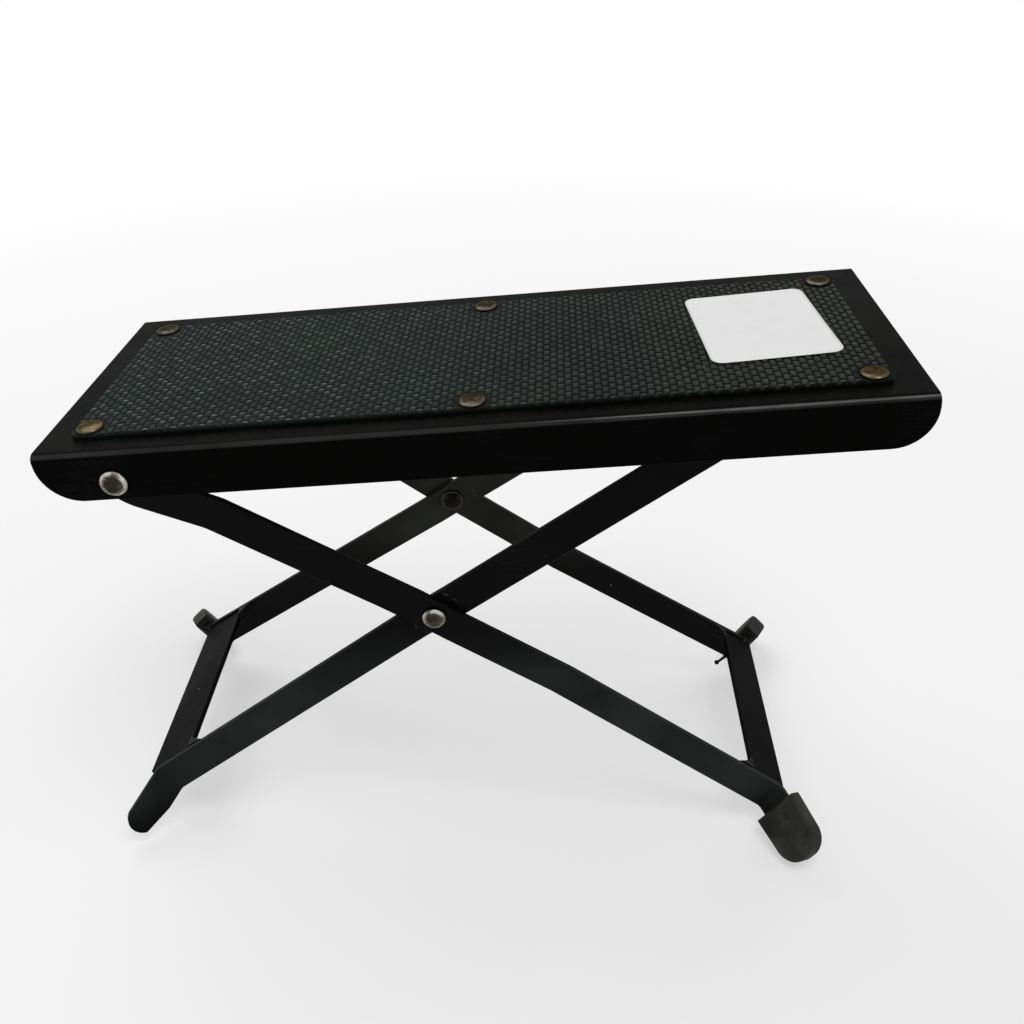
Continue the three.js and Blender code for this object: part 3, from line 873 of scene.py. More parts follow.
@dataclass(frozen=True)
class BootRubber(Finish):
    """Matt black moulded rubber, scuffed and a little dusty."""

    base: Colour = (0.009, 0.0094, 0.0078, 1.0)
    scuffed: Colour = (0.058, 0.059, 0.047, 1.0)
    fleck: Colour = (0.4, 0.4, 0.35, 1.0)
    bloom: Patches = Patches(75.0, 5.0, 0.35, 0.7, most=0.6)
    relief: float = 0.08 * MM
    specular: float = 0.12

    def paint(self, skin: Skin) -> None:
        """Scuffs and dusts the rubber.

        Args:
            skin: The material's graph, with the shader's inputs.
        """
        edge = skin.put(Effect.EDGE_WEAR, radius=0.8 * MM, amount=0.35)
        scuff = skin.put(Effect.SCUFFS, scale=90.0, amount=0.6)
        marks = skin.largest(edge, scuff, skin.patches(skin.place(), self.bloom))
        rubbed = skin.mix(marks, self.base, self.scuffed)
        speck = skin.put(Effect.SPECKS, scale=300.0, share=0.05, size=0.15)
        skin.set("Base Color", skin.mix(speck, rubbed, self.fleck))
        skin.set("Roughness", skin.put(Effect.CLOUDS, scale=70.0, low=0.5, high=0.68))
        height = skin.put(Effect.PEEL, scale=900.0, grain=0.6)
        skin.set("Normal", skin.bump(height, self.relief))
        skin.set("Specular IOR Level", self.specular)


@dataclass(frozen=True)
class LabelPaper(Finish):
    """Plain white label paper with a soft coating."""

    base: Colour = (0.66, 0.665, 0.66, 1.0)
    grubby: Colour = (0.52, 0.51, 0.48, 1.0)
    soil: Patches = Patches(70.0, 4.0, 0.5, 0.85, most=0.3)
    fibre_depth: float = 0.02 * MM

    def paint(self, skin: Skin) -> None:
        """Soils the paper a little and gives it fibres.

        Args:
            skin: The material's graph, with the shader's inputs.
        """
        place = skin.place()
        edge = skin.put(Effect.EDGE_WEAR, radius=0.5 * MM, amount=0.35)
        soiled = skin.largest(skin.patches(place, self.soil), edge)
        skin.set("Base Color", skin.mix(soiled, self.base, self.grubby))
        skin.set("Roughness", skin.put(Effect.CLOUDS, scale=90.0, low=0.42, high=0.55))
        fibres = skin.noise(place, scale=1800.0, detail=4.0)
        skin.set("Normal", skin.bump(fibres, self.fibre_depth))


CROSSBAR_ENAMEL = Enamel("crossbar enamel", specular=0.012, dusty=0.06)
WELD_ENAMEL = WeldEnamel("weld enamel")
DARK_STEEL = DarkSteel("dark steel")
BOOT_RUBBER = BootRubber("boot rubber")


class Finishes:
    """Makes each finish's material once."""

    def __init__(self) -> None:
        """Starts with no material made."""
        self.effects = EffectLibrary()
        self.made: dict[str, Material] = {}

    def of(self, finish: Finish) -> Material:
        """Makes a finish's material, unless it is there already.

        Args:
            finish: The finish.

        Returns:
            Its material.
        """
        if finish.name not in self.made:
            self.made[finish.name] = finish.material(self.effects)
        return self.made[finish.name]


@dataclass(frozen=True)
class Axes:
    """Axes that are turned about Y: X along a sloping part, Y away from the viewer."""

    origin: Vector
    slope: float

    def matrix(self) -> Matrix:
        """Returns the matrix from these axes to the frame."""
        return Matrix.Translation(self.origin) @ Matrix.Rotation(-self.slope, 4, "Y")

    def box(self, node: Object) -> tuple[Vector, Vector]:
        """Measures a CAD node in these axes.

        Args:
            node: The node.

        Returns:
            Its lowest and highest corner.
        """
        back = self.matrix().inverted()
        places = [back @ vertex.co for vertex in node.data.vertices]
        low = Vector(min(place[i] for place in places) for i in range(3))
        high = Vector(max(place[i] for place in places) for i in range(3))
        return low, high


def mesh_piece(
    name: str,
    places: Iterable[Vector],
    faces: Iterable[Sequence[int]],
    stored: dict[str, Sequence[float]] | None = None,
) -> Object:
    """Makes an object from places in the frame and faces.

    Args:
        name: The piece's name.
        places: Its vertices, in metres, in the frame.
        faces: Vertex numbers of each face, outside seen anticlockwise.
        stored: Values to keep on the vertices, by name.

    Returns:
        The piece, smooth shaded, its origin at the frame's origin.
    """
    mesh = bpy.data.meshes.new(name)
    mesh.from_pydata([tuple(place) for place in places], [], [list(face) for face in faces])
    mesh.shade_smooth()
    for label, values in (stored or {}).items():
        mesh.attributes.new(label, "FLOAT", "POINT").data.foreach_set("value", values)
    piece = bpy.data.objects.new(name, mesh)
    bpy.context.scene.collection.objects.link(piece)
    return piece


def smooth(low: float, high: float, value: float) -> float:
    """Returns 0 below low, 1 above high and a smooth step between them."""
    share = min(1.0, max(0.0, (value - low) / (high - low)))
    return share * share * (3 - 2 * share)


def standing(start: Vector, way: Vector) -> Matrix:
    """Returns the matrix that stands a form's Z axis on a place, along a direction."""
    return Matrix.Translation(start) @ way.to_track_quat("Z", "Y").to_matrix().to_4x4()


def circle(steps: int) -> list[tuple[float, float]]:
    """Returns places evenly round a circle of radius 1."""
    angles = [math.tau * step / steps for step in range(steps)]
    return [(math.cos(angle), math.sin(angle)) for angle in angles]


def ring_faces(rings: int, steps: int) -> list[Face]:
    """Joins rings of equally many vertices, and closes the first and the last.

    Args:
        rings: Number of rings.
        steps: Vertices in each ring.

    Returns:
        The faces.
    """
    faces: list[Face] = []
    for low in range(0, (rings - 1) * steps, steps):
        high = low + steps
        for step in range(steps):
            after = (step + 1) % steps
            faces.append((low + step, low + after, high + after, high + step))
    last = (rings - 1) * steps
    faces.append(tuple(reversed(range(steps))))
    faces.append(tuple(range(last, last + steps)))
    return faces


def grid_faces(columns: int, rows: int, start: int = 0, down: bool = False) -> list[Face]:
    """Returns the faces of a grid whose vertices are numbered row by row.

    Args:
        columns: Cells in a row.
        rows: Number of rows of cells.
        start: Number of its first vertex.
        down: Whether it looks down.

    Returns:
        The faces.
    """
    wide = columns + 1
    cells = [start + row * wide + column for row in range(rows) for column in range(columns)]
    if down:
        return [(at, at + wide, at + wide + 1, at + 1) for at in cells]
    return [(at, at + 1, at + wide + 1, at + wide) for at in cells]


def grid_rim(columns: int, rows: int) -> list[int]:
    """Goes round the edge of a grid whose vertices are numbered row by row.

    Args:
        columns: Cells in a row.
        rows: Number of rows of cells.

    Returns:
        The vertices on the edge, anticlockwise from above.
    """
    wide = columns + 1
    near = list(range(columns))
    right = [row * wide + columns for row in range(rows)]
    far = [rows * wide + column for column in range(columns, 0, -1)]
    left = [row * wide for row in range(rows, 0, -1)]
    return near + right + far + left


def wall_faces(upper: Sequence[int], lower: Sequence[int]) -> list[Face]:
    """Joins two closed rows of vertices, both anticlockwise from above, by a wall."""
    tops, feet = list(upper), list(lower)
    return list(zip(tops, feet, feet[1:] + feet[:1], tops[1:] + tops[:1]))


def rounded_reach(y: float, half_x: float, half_y: float, corner: float) -> float:
    """Returns how far a rectangle with round corners reaches from its middle line at Y."""
    over = max(0.0, abs(y) - (half_y - corner))
    return half_x - corner + math.sqrt(max(0.0, corner**2 - over**2))


@dataclass(frozen=True)
class EdgeBreak:
    """How a CAD node's edges are softened: how wide their round is and which angle is an edge."""

    width: float = 0.22 * MM
    segments: int = 2
    edge_angle: float = math.radians(38)
    joined_within: float = 0.001 * MM
    face_weight: int = 100

    def group(self) -> Tree:
        """Builds the geometry node group that joins faces and smooths all but real edges.

        Returns:
            The node group.
        """
        name = f"joined faces {math.degrees(self.edge_angle):.0f}"
        found = bpy.data.node_groups.get(name)
        if found:
            return found
        tree = bpy.data.node_groups.new(name, "GeometryNodeTree")
        for way in ("INPUT", "OUTPUT"):
            tree.interface.new_socket("Geometry", in_out=way, socket_type="NodeSocketGeometry")
        graph = Graph(tree)
        mesh = graph.add("NodeGroupInput").outputs[0]
        angle = graph.add("GeometryNodeInputMeshEdgeAngle").outputs["Unsigned Angle"]
        ends = {0: angle, 1: self.edge_angle}
        soft = graph.add("FunctionNodeCompare", ends, operation="LESS_THAN").outputs[0]
        steps = (
            ("GeometryNodeMergeByDistance", {"Distance": self.joined_within}, {}),
            ("GeometryNodeRemoveAttribute", {"Name": "custom_normal"}, {}),
            ("GeometryNodeSetShadeSmooth", {"Shade Smooth": True}, {"domain": "FACE"}),
            ("GeometryNodeSetShadeSmooth", {"Shade Smooth": soft}, {"domain": "EDGE"}),
        )
        for kind, inputs, settings in steps:
            mesh = graph.add(kind, {"Geometry": mesh, **inputs}, **settings).outputs[0]
        graph.add("NodeGroupOutput", {"Geometry": mesh})
        return tree

    def soften(self, node: Object) -> None:
        """Adds the modifiers that round a CAD node's edges and smooth its bends.

        Args:
            node: The CAD node.
        """
        node.modifiers.new("join faces", "NODES").node_group = self.group()
        if self.width > 0:
            bevel = node.modifiers.new("broken edges", "BEVEL")
            bevel.width = self.width
            bevel.segments = self.segments
            bevel.limit_method = "ANGLE"
            bevel.angle_limit = self.edge_angle
            bevel.use_clamp_overlap = False
            bevel.miter_outer = "MITER_ARC"
        weighted = node.modifiers.new("flat faces stay flat", "WEIGHTED_NORMAL")
        weighted.keep_sharp = True
        weighted.weight = self.face_weight


BAR_EDGE = EdgeBreak()
WELD_EDGE = EdgeBreak(width=0.3 * MM)
TURNED_EDGE = EdgeBreak(width=0.15 * MM)
WASHER_EDGE = EdgeBreak(width=0.1 * MM)
MOULDED_EDGE = EdgeBreak(width=0.0, edge_angle=math.radians(60))


@dataclass(frozen=True)
class RivetForm:
    """A rivet turned about its own axis: a domed head, a shank and a smaller clenched tail."""

    OFF_AXIS: ClassVar[str] = "off_axis"
    ALONG: ClassVar[str] = "along"
    DARK_REFLECTION: ClassVar[str] = "core"

    head: float
    dome: float
    shank: float
    tail: float
    tail_dome: float
    rim: float = 0.35 * MM
    rim_under: tuple[float, float] = (0.3, 0.2)
    tail_draft: float = 0.1 * MM
    pole: float = 0.02 * MM
    seated: float = 0.28 * MM
    steps: int = 56
    arc: int = 9
    dents: int = 0
    dent_reach: float = 0.62
    dent_width: tuple[float, float] = (0.8 * MM, 1.5 * MM)
    dent_depth: float = 0.22 * MM
    seed: int = 1
    # core: where the head's painted dark reflection centres, as shares of its radius
    core: tuple[float, float] = (0.0, 0.0)

    def profile(self, length: float) -> list[tuple[float, float]]:
        """Draws half the section, from the tail's end to the top of the head.

        Args:
            length: Overall length.

        Returns:
            Radius and height of each point. Height 0 is the tail's end.
        """
        quarter = [math.pi / 2 * k / self.arc for k in range(self.arc + 1)]
        neck_low = self.tail_dome + self.seated
        neck_high = length - self.dome - self.seated
        head, tail = self.head / 2, self.tail / 2
        inward, upward = self.rim_under
        base = neck_high + self.rim
        points = [(self.pole, 0.0)]
        points += [
            (tail * math.sin(angle), self.tail_dome * (1 - math.cos(angle)))
            for angle in quarter[1:]
        ]
        points += [
            (tail - self.tail_draft, neck_low),
            (self.shank / 2, neck_low),
            (self.shank / 2, neck_high),
            (head - self.rim, neck_high),
            (head - inward * self.rim, neck_high + upward * self.rim),
        ]
        points += [
            (max(head * math.cos(angle), self.pole), base + (length - base) * math.sin(angle))
            for angle in quarter
        ]
        return points

    def make(self, name: str, foot: Vector, axis: Vector, length: float) -> Object:
        """Builds the rivet.

        Args:
            name: The piece's name.
            foot: Centre of the tail's end.
            axis: Direction from the tail to the head.
            length: Overall length.

        Returns:
            The piece, with each vertex's place on the rivet stored on it.
        """
        whole = standing(foot, axis)
        profile = self.profile(length)
        head = self.head / 2
        draw = random.Random(self.seed)
        blows = []
        for _ in range(self.dents):
            away, angle = draw.uniform(0, self.dent_reach) * head, draw.uniform(0, math.tau)
            wide = draw.uniform(*self.dent_width)
            blows.append((away * math.cos(angle), away * math.sin(angle), wide))
        core_x, core_y = (share * head for share in self.core)
        places, off_axis, along, core = [], [], [], []
        for radius, height in profile:
            off_axis += [radius / head] * self.steps
            along += [height / length] * self.steps
            struck = blows if height > length - self.dome else []
            for across, up in circle(self.steps):
                x, y = radius * across, radius * up
                gaps = (math.hypot(x - at_x, y - at_y) / wide for at_x, at_y, wide in struck)
                sunk = sum(self.dent_depth * math.exp(-gap * gap) for gap in gaps)
                places.append(whole @ Vector((x, y, height - sunk)))
                # distance from the centre of the painted dark reflection, kept on each vertex
                core.append(math.hypot(x - core_x, y - core_y) / head)
        kept = {self.OFF_AXIS: off_axis, self.ALONG: along, self.DARK_REFLECTION: core}
        return mesh_piece(name, places, ring_faces(len(profile), self.steps), kept)


@dataclass(frozen=True)
class RivetLook:
    """Where a rivet of the mat sits, how it has aged and how its painted dark reflection lies.

    Its metal comes first, then its tarnish, how dark its core is and where that core lies; the dark
    core is a painted dark reflection.
    """

    where: str
    bright: Colour
    tarnish: float
    painted_dark_core: float
    core: tuple[float, float]
    # the rim colour, partly rubbed wear and partly a painted highlight
    rubbed: Colour = (0.105, 0.094, 0.071, 1.0)

    def finish(self) -> Nickel:
        """Returns the rivet's own nickel."""
        return Nickel(
            f"nickel {self.where.replace('_', ' ')}",
            bright=self.bright,
            rubbed=self.rubbed,
            tarnish=self.tarnish,
            painted_dark_core=self.painted_dark_core,
        )


@dataclass
class RubberMat:
    """The mat: a slab whose top is a raised weave of short dashes, squashed by the rivet heads.

    The cuts are the grid lines in each dash, as shares of the pitch.
    """

    CROWN: ClassVar[str] = "crown"
    GLINT: ClassVar[str] = "painted_glint"

    pitch_x: float = 2.5 * MM
    pitch_y: float = 4.44 * MM
    relief: float = 0.6 * MM
    corner: float = 2.5 * MM
    cuts_x: tuple[float, ...] = (0.0, 0.13, 0.3, 0.7, 0.87)
    cuts_y: tuple[float, ...] = (0.0, 0.08, 0.2, 0.3, 0.42, 0.5, 0.58, 0.7, 0.8, 0.92)
    line_slack: float = 1e-6
    flank: float = 0.6
    dash: float = 0.3
    sag: float = 0.2
    low_end: float = 0.1
    least: float = 0.76
    glint_at: float = 0.2
    glint_reach: float = 0.13
    wander: float = 0.16 * MM
    wander_seed: int = 11
    calm_rows: float = 3.0
    seat: float = 4.9 * MM
    shoulder: float = 2.4 * MM
    under_head: float = 0.02 * MM
    squashed_share: float = 0.3
    rim_crown: float = 0.2
    seat_gap: float = 0.3 * MM
    lift: float = 0.05 * MM
    lot_seed: int = 29
    lots: dict[tuple[int, int], tuple[float, float]] = field(default_factory=dict)

    def __post_init__(self) -> None:
        """Starts the draw of the dashes' heights and painted glints."""
        self.draw = random.Random(self.lot_seed)

    def lot(self, column: int, number: int) -> tuple[float, float]:
        """Draws how one dash stands, unless that is drawn already.

        Args:
            column: Column of the weave.
            number: Number of the dash in its column.

        Returns:
            How high it stands and how strong its painted glint is, as shares.
        """
        if (column, number) not in self.lots:
            self.lots[column, number] = (self.draw.uniform(self.least, 1.0), self.draw.random())
        return self.lots[column, number]

    def weave(self, x: float, y: float) -> tuple[float, float]:
        """Reads the weave at a place.

        Args:
            x: Distance from the mat's left edge.
            y: Distance from its near edge.

        Returns:
            The height from 0 in the valleys to 1, and how strong the painted glint is there.
        """
        column = math.floor(x / self.pitch_x + self.line_slack)
        across = abs(2 * (x / self.pitch_x - column) - 1)
        phase = y / self.pitch_y + 0.5 * (column % 2)
        number = math.floor(phase + 0.5)
        away = abs(phase - number)
        high, rubbed = self.lot(column, number)
        side = 1 - smooth(self.flank, 1.0, across)
        end = 1 - (1 - self.low_end) * smooth(self.dash, 0.5, away)
        arch = 1 - self.sag * ((away / 0.5) ** 2 + 0.5 * across**2)
        # painted glint near one end of each dash, its strength drawn per dash
        from_glint = (phase - number - self.glint_at) / self.glint_reach
        return high * side * end * arch, math.exp(-(from_glint**2)) * side * rubbed

    def free(self, x: float, y: float, seats: Sequence[Vector]) -> float:
        """Returns how free of rivet heads a place is, from 0 under one to 1 away from all."""
        nearest = min(math.hypot(x - seat.x, y - seat.y) for seat in seats)
        return smooth(self.seat, self.seat + self.shoulder, nearest)

    def stations(self, half: float, pitch: float, cuts: Sequence[float]) -> list[float]:
        """Spreads grid lines from one edge to the other.

        Args:
            half: Half the mat's extent.
            pitch: Distance from dash to dash.
            cuts: Grid lines in each pitch, as shares of it.

        Returns:
            The grid lines, as shares of the half from -1 to 1.
        """
        whole = round(2 * half / pitch)
        shares = [(number + cut) / whole for number in range(whole) for cut in cuts]
        return [2 * share - 1 for share in shares] + [1.0]

    def make(
        self, name: str, axes: Axes, low: Vector, high: Vector, seats: Sequence[Vector]
    ) -> Object:
        """Builds the mat in the space of its CAD solid.

        Args:
            name: The piece's name.
            axes: The tread's axes.
            low: Lowest corner of the solid in these axes.
            high: Highest corner.
            seats: Underside of each rivet head, in these axes.

        Returns:
            The piece, with the weave's height and painted glints stored on it.
        """
        middle = (low + high) / 2
        half_x, half_y = (high.x - low.x) / 2, (high.y - low.y) / 2
        across = self.stations(half_x, self.pitch_x, self.cuts_x)
        along = self.stations(half_y, self.pitch_y, self.cuts_y)
        columns, rows = len(across) - 1, len(along) - 1
        draw = random.Random(self.wander_seed)
        dashes = columns // len(self.cuts_x) + 2
        sways = [draw.uniform(-self.wander, self.wander) for _ in range(dashes)]
        seated = sum(seat.z for seat in seats) / len(seats) - self.under_head
        places, crowns, painted_glints = [], [], []
        for row, share_y in enumerate(along):
            y = half_y * share_y
            reach = rounded_reach(y, half_x, half_y, self.corner)
            calm = smooth(0.0, self.calm_rows * self.pitch_y, half_y - abs(y))
            for column, share_x in enumerate(across):
                x = reach * share_x
                crown, painted_glint = self.weave(half_x * (share_x + 1), half_y * (share_y + 1))
                free = self.free(x + middle.x, y + middle.y, seats)
                inside = row not in (0, rows) and column not in (0, columns)
                sway = calm * sways[column // len(self.cuts_x)] if inside else 0.0
                height = seated + (high.z - self.relief * (1 - crown) - seated) * free
                places.append(Vector((x + middle.x, y + sway + middle.y, height)))
                crowns.append(crown * (self.squashed_share + (1 - self.squashed_share) * free))
                painted_glints.append(painted_glint * free)
        rim = grid_rim(columns, rows)
        lower = range(len(places), len(places) + len(rim))
        faces = grid_faces(columns, rows) + wall_faces(rim, lower) + [tuple(reversed(lower))]
        foot = low.z - self.seat_gap + self.lift
        places += [Vector((places[i].x, places[i].y, foot)) for i in rim]
        crowns += [self.rim_crown] * len(rim)
        painted_glints += [0.0] * len(rim)
        whole = axes.matrix()
        kept = {self.CROWN: crowns, self.GLINT: painted_glints}
        return mesh_piece(name, (whole @ place for place in places), faces, kept)


@dataclass(frozen=True)
class BlankLabel:
    """A blank white label stuck on the mat, with round corners and a slightly wavy lie."""

    width: float = 46 * MM
    length: float = 57 * MM
    corner: float = 4 * MM
    thick: float = 0.14 * MM
    turn: float = math.radians(3.6)
    place_x: float = 226.6 * MM
    place_y: float = 1.6 * MM
    cells: int = 34
    gap: float = 0.04 * MM
    wave: float = 0.09 * MM
    ripple_x: float = 5.2 * MM
    ripple_y: float = 6.1 * MM
    curl: float = 0.25 * MM
    curl_from: float = 1.55

    def lie(self, x: float, y: float) -> float:
        """Finds how high the label's underside lies over the mat's crowns.

        Args:
            x: Distance from the label's middle to the right.
            y: Distance to the far side.

        Returns:
            The height.
        """
        ripple = math.sin(x / self.ripple_x) * math.cos(y / self.ripple_y)
        out = abs(x) / (self.width / 2) + abs(y) / (self.length / 2) - self.curl_from
        return self.gap + self.wave * (0.5 + 0.5 * ripple) + self.curl * max(0.0, out)

    def make(self, name: str, axes: Axes, ground: float) -> Object:
        """Builds the label.

        Args:
            name: The piece's name.
            axes: The tread's axes.
            ground: Height of the mat's crowns in these axes.

        Returns:
            The piece.
        """
        cells, half_x, half_y = self.cells, self.width / 2, self.length / 2
        shares = [2 * cell / cells - 1 for cell in range(cells + 1)]
        lows = []
        for share_y in shares:
            y = half_y * math.sin(math.pi / 2 * share_y)
            reach = rounded_reach(y, half_x, half_y, self.corner)
            lows += [Vector((reach * share, y, self.lie(reach * share, y))) for share in shares]
        tops = [place + Vector((0, 0, self.thick)) for place in lows]
        rim = grid_rim(cells, cells)
        faces = grid_faces(cells, cells) + grid_faces(cells, cells, len(tops), down=True)
        faces += wall_faces(rim, [len(tops) + upper for upper in rim])
        spot = Matrix.Translation((self.place_x, self.place_y, ground))
        whole = axes.matrix() @ spot @ Matrix.Rotation(self.turn, 4, "Z")
        return mesh_piece(name, (whole @ place for place in tops + lows), faces)


@dataclass(frozen=True)
class WeldDrip:
    """A thin drip of weld that ends in a ball.

    It starts at a place measured from a corner of the weld. Its shares are of its length.
    """

    start: Triple = (2.2 * MM, 0.2 * MM, -13.6 * MM)
    way: Triple = (-0.72, -0.1, -0.68)
    length: float = 7.6 * MM
    neck: float = 0.6 * MM
    ball: float = 1.15 * MM
    ball_at_share: float = 0.84
    ball_reach_share: float = 0.162
    flare: float = 2.2
    flare_fade: float = 8.0
    close: float = 14.0
    closed_share: float = 1.004
    sway: float = 0.35 * MM
    rings: int = 30
    steps: int = 18

    def radius(self, share: float) -> float:
        """Finds how thick the drip is.

        Args:
            share: Place along it, as a share of its length.

        Returns:
            Its radius there.
        """
        flare = self.flare * math.exp(-self.flare_fade * share)
        neck = self.neck * (1 + flare) * min(1.0, self.close * (self.closed_share - share))
        off_ball = (share - self.ball_at_share) / self.ball_reach_share
        return max(neck, self.ball * math.sqrt(max(0.0, 1 - off_ball**2)))

    def make(self, name: str, corner: Vector) -> Object:
        """Builds the drip.

        Args:
            name: The piece's name.
            corner: The weld's corner that its start is measured from.

        Returns:
            The piece.
        """
        whole = standing(corner + Vector(self.start), Vector(self.way).normalized())
        places = []
        for ring in range(self.rings):
            share = ring / (self.rings - 1)
            radius = self.radius(share)
            sway = self.sway * math.sin(math.pi * share)
            places += [
                whole @ Vector((radius * x + sway, radius * y, share * self.length))
                for x, y in circle(self.steps)
            ]
        return mesh_piece(name, places, ring_faces(self.rings, self.steps))


@dataclass
class SubAssembly(ABC):
    """A group of pieces that ride on one body, with the frame and the finishes they share."""

    body: ClassVar[Body]

    frame: dict[str, Any]
    finishes: Finishes

    def __post_init__(self) -> None:
        """Finds the CAD nodes, the joints and the mount in the frame."""
        self.nodes: dict[str, Object] = self.frame["nodes"]
        self.joints = {joint["name"]: joint for joint in self.frame["joints"]}
        self.mount = self.frame["record"]["mounts"][0]

    def build(self) -> list[Object]:
        """Builds the new pieces, if there are any, and returns them."""
        return []

    @abstractmethod
    def dress(self) -> None:
        """Gives the CAD nodes their finishes and edges."""

    def coat(self, node: str, finish: Finish, edges: EdgeBreak = BAR_EDGE) -> None:
        """Gives a CAD node a finish.

        Args:
            node: The CAD node's name.
            finish: Its finish.
            edges: How its edges are softened.
        """
        carried = self.nodes[node]
        carried.data.materials.clear()
        carried.data.materials.append(self.finishes.of(finish))
        edges.soften(carried)
        LOG.info("dressed %s in %s", node, finish.name)

    def join_in(
        self, piece: Object, finish: Finish, slot: Slot | None = None, instead_of: str = ""
    ) -> Object:
        """Gives a new piece its finish, body and slot.

        Args:
            piece: The piece.
            finish: Its finish.
            slot: The record's material slot, if it has one. Not used.
            instead_of: The CAD node that it stands for, if any.

        Returns:
            The piece.
        """
        piece.data.materials.append(self.finishes.of(finish))
        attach(piece, self.body.value)
        if instead_of:
            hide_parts(instead_of)
        LOG.info("built %s in %s", piece.name, finish.name)
        return piece

    def pivot_rivets(self, stem: str, form: RivetForm, finish: Finish) -> list[Object]:
        """Builds the rivets of a pivot on both sides, their heads on the outside.

        Args:
            stem: The nodes' name without the side.
            form: The rivets' form.
            finish: Their finish.

        Returns:
            The two pieces.
        """
        pieces = []
        for side in Side:
            node = f"{stem}_{side.value}"
            low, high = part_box(node)
            out, inner = (-1, high.y) if side is Side.NEAR else (1, low.y)
            foot = Vector(((low.x + high.x) / 2, inner, (low.z + high.z) / 2))
            piece = form.make(f"{node}_domed", foot, Vector((0, out, 0)), high.y - low.y)
            pieces.append(self.join_in(piece, finish, Slot.RIVET, node))
        return pieces


@dataclass
class Tread(SubAssembly):
    """The pressed tread with its mat, the mat's rivets, the notched rails and a blank label."""

    body = Body.TREAD

    rivet: RivetForm = RivetForm(
        head=9.4 * MM, dome=1.5 * MM, shank=3.6 * MM, tail=6.6 * MM, tail_dome=1.2 * MM, dents=3
    )
    first_seed: int = 3
    # Each mat rivet's metal and tarnish, and the strength and place of its dark core, a painted
    # dark reflection
    looks: tuple[RivetLook, ...] = (
        RivetLook("near_left", (0.095, 0.074, 0.038, 1.0), 0.25, 0.2, (0.3, 0.5)),
        RivetLook("near_middle", (0.066, 0.069, 0.059, 1.0), 0.75, 1.0, (-0.35, -0.4)),
        RivetLook("near_right", (0.075, 0.055, 0.027, 1.0), 0.4, 0.35, (0.0, -0.1)),
        RivetLook("far_left", (0.056, 0.059, 0.048, 1.0), 0.5, 0.85, (0.0, 0.1)),
        RivetLook("far_middle", (0.043, 0.043, 0.033, 1.0), 0.6, 0.5, (-0.2, -0.2)),
        RivetLook("far_right", (0.068, 0.059, 0.049, 1.0), 0.8, 0.9, (-0.1, -0.1)),
    )
    plate_enamel: Enamel = Enamel(
        "tread enamel",
        base=(0.0018, 0.0018, 0.0016, 1.0),
        specular=0.013,
        polish=0.5,
        dusty=0.05,
    )
    rail_enamel: Enamel = Enamel(
        "rail enamel",
        base=(0.008, 0.008, 0.0078, 1.0),
        worn=(0.12, 0.115, 0.105, 1.0),
        wear=1.0,
    )
    label: BlankLabel = BlankLabel()

    def axes(self) -> Axes:
        """Returns the tread's axes: origin on its hinge, X up its slope."""
        lean = Vector(self.mount["axis"])
        return Axes(Vector(self.joints["tread_lift"]["pos_m"]), math.atan2(-lean.x, lean.z))

    def build(self) -> list[Object]:
        """Builds the mat's rivets, the mat and the label.

        Returns:
            The pieces.
        """
        axes = self.axes()
        up = axes.matrix().to_3x3() @ Vector((0, 0, 1))
        pieces, seats = [], []
        for seed, look in enumerate(self.looks, self.first_seed):
            node = f"mat_rivet_{look.where}"
            low, high = axes.box(self.nodes[node])
            centre = (low + high) / 2
            form = replace(self.rivet, seed=seed, core=look.core)
            foot = axes.matrix() @ Vector((centre.x, centre.y, low.z))
            piece = form.make(f"{node}_domed", foot, up, high.z - low.z)
            pieces.append(self.join_in(piece, look.finish(), Slot.RIVET, node))
            seats.append(Vector((centre.x, centre.y, high.z - form.dome - form.seated)))
        low, high = axes.box(self.nodes["rubber_mat"])
        mat = RubberMat().make("woven_mat", axes, low, high, seats)
        pieces.append(self.join_in(mat, WovenRubber("woven rubber"), Slot.MAT, "rubber_mat"))
        label = self.label.make("blank_label", axes, high.z)
        pieces.append(self.join_in(label, LabelPaper("label paper")))
        return pieces

    def dress(self) -> None:
        """Dresses the pressed sheet and the notched rails."""
        self.coat("tread_plate", self.plate_enamel)
        for side in Side:
            self.coat(f"notch_rail_{side.value}", self.rail_enamel, TURNED_EDGE)


@dataclass
class HingePins(SubAssembly):
    """The two rivets and washers that the tread turns on."""

    body = Body.HINGE_PINS

    rivet: RivetForm = RivetForm(
        head=10 * MM,
        dome=2.3 * MM,
        shank=5 * MM,
        tail=8 * MM,
        tail_dome=1.5 * MM,
        rim=0.45 * MM,
        core=(0.16, 0.14),
    )
    # The form's core places a dark core that is a painted dark reflection; the pale rim is partly
    # rubbed wear and partly a painted highlight
    finish: Nickel = Nickel(
        "nickel hinge",
        bright=(0.3, 0.28, 0.23, 1.0),
        brown=(0.012, 0.008, 0.004, 1.0),
        rubbed=(0.62, 0.6, 0.54, 1.0),
        painted_dark_core=0.95,
        gloss=(0.08, 0.18),
    )

    def build(self) -> list[Object]:
        """Builds the domed hinge rivets."""
        return self.pivot_rivets("hinge_rivet", self.rivet, self.finish)

    def dress(self) -> None:
        """Dresses the washers."""
        for side in Side:
            self.coat(f"hinge_washer_{side.value}", DARK_STEEL, WASHER_EDGE)


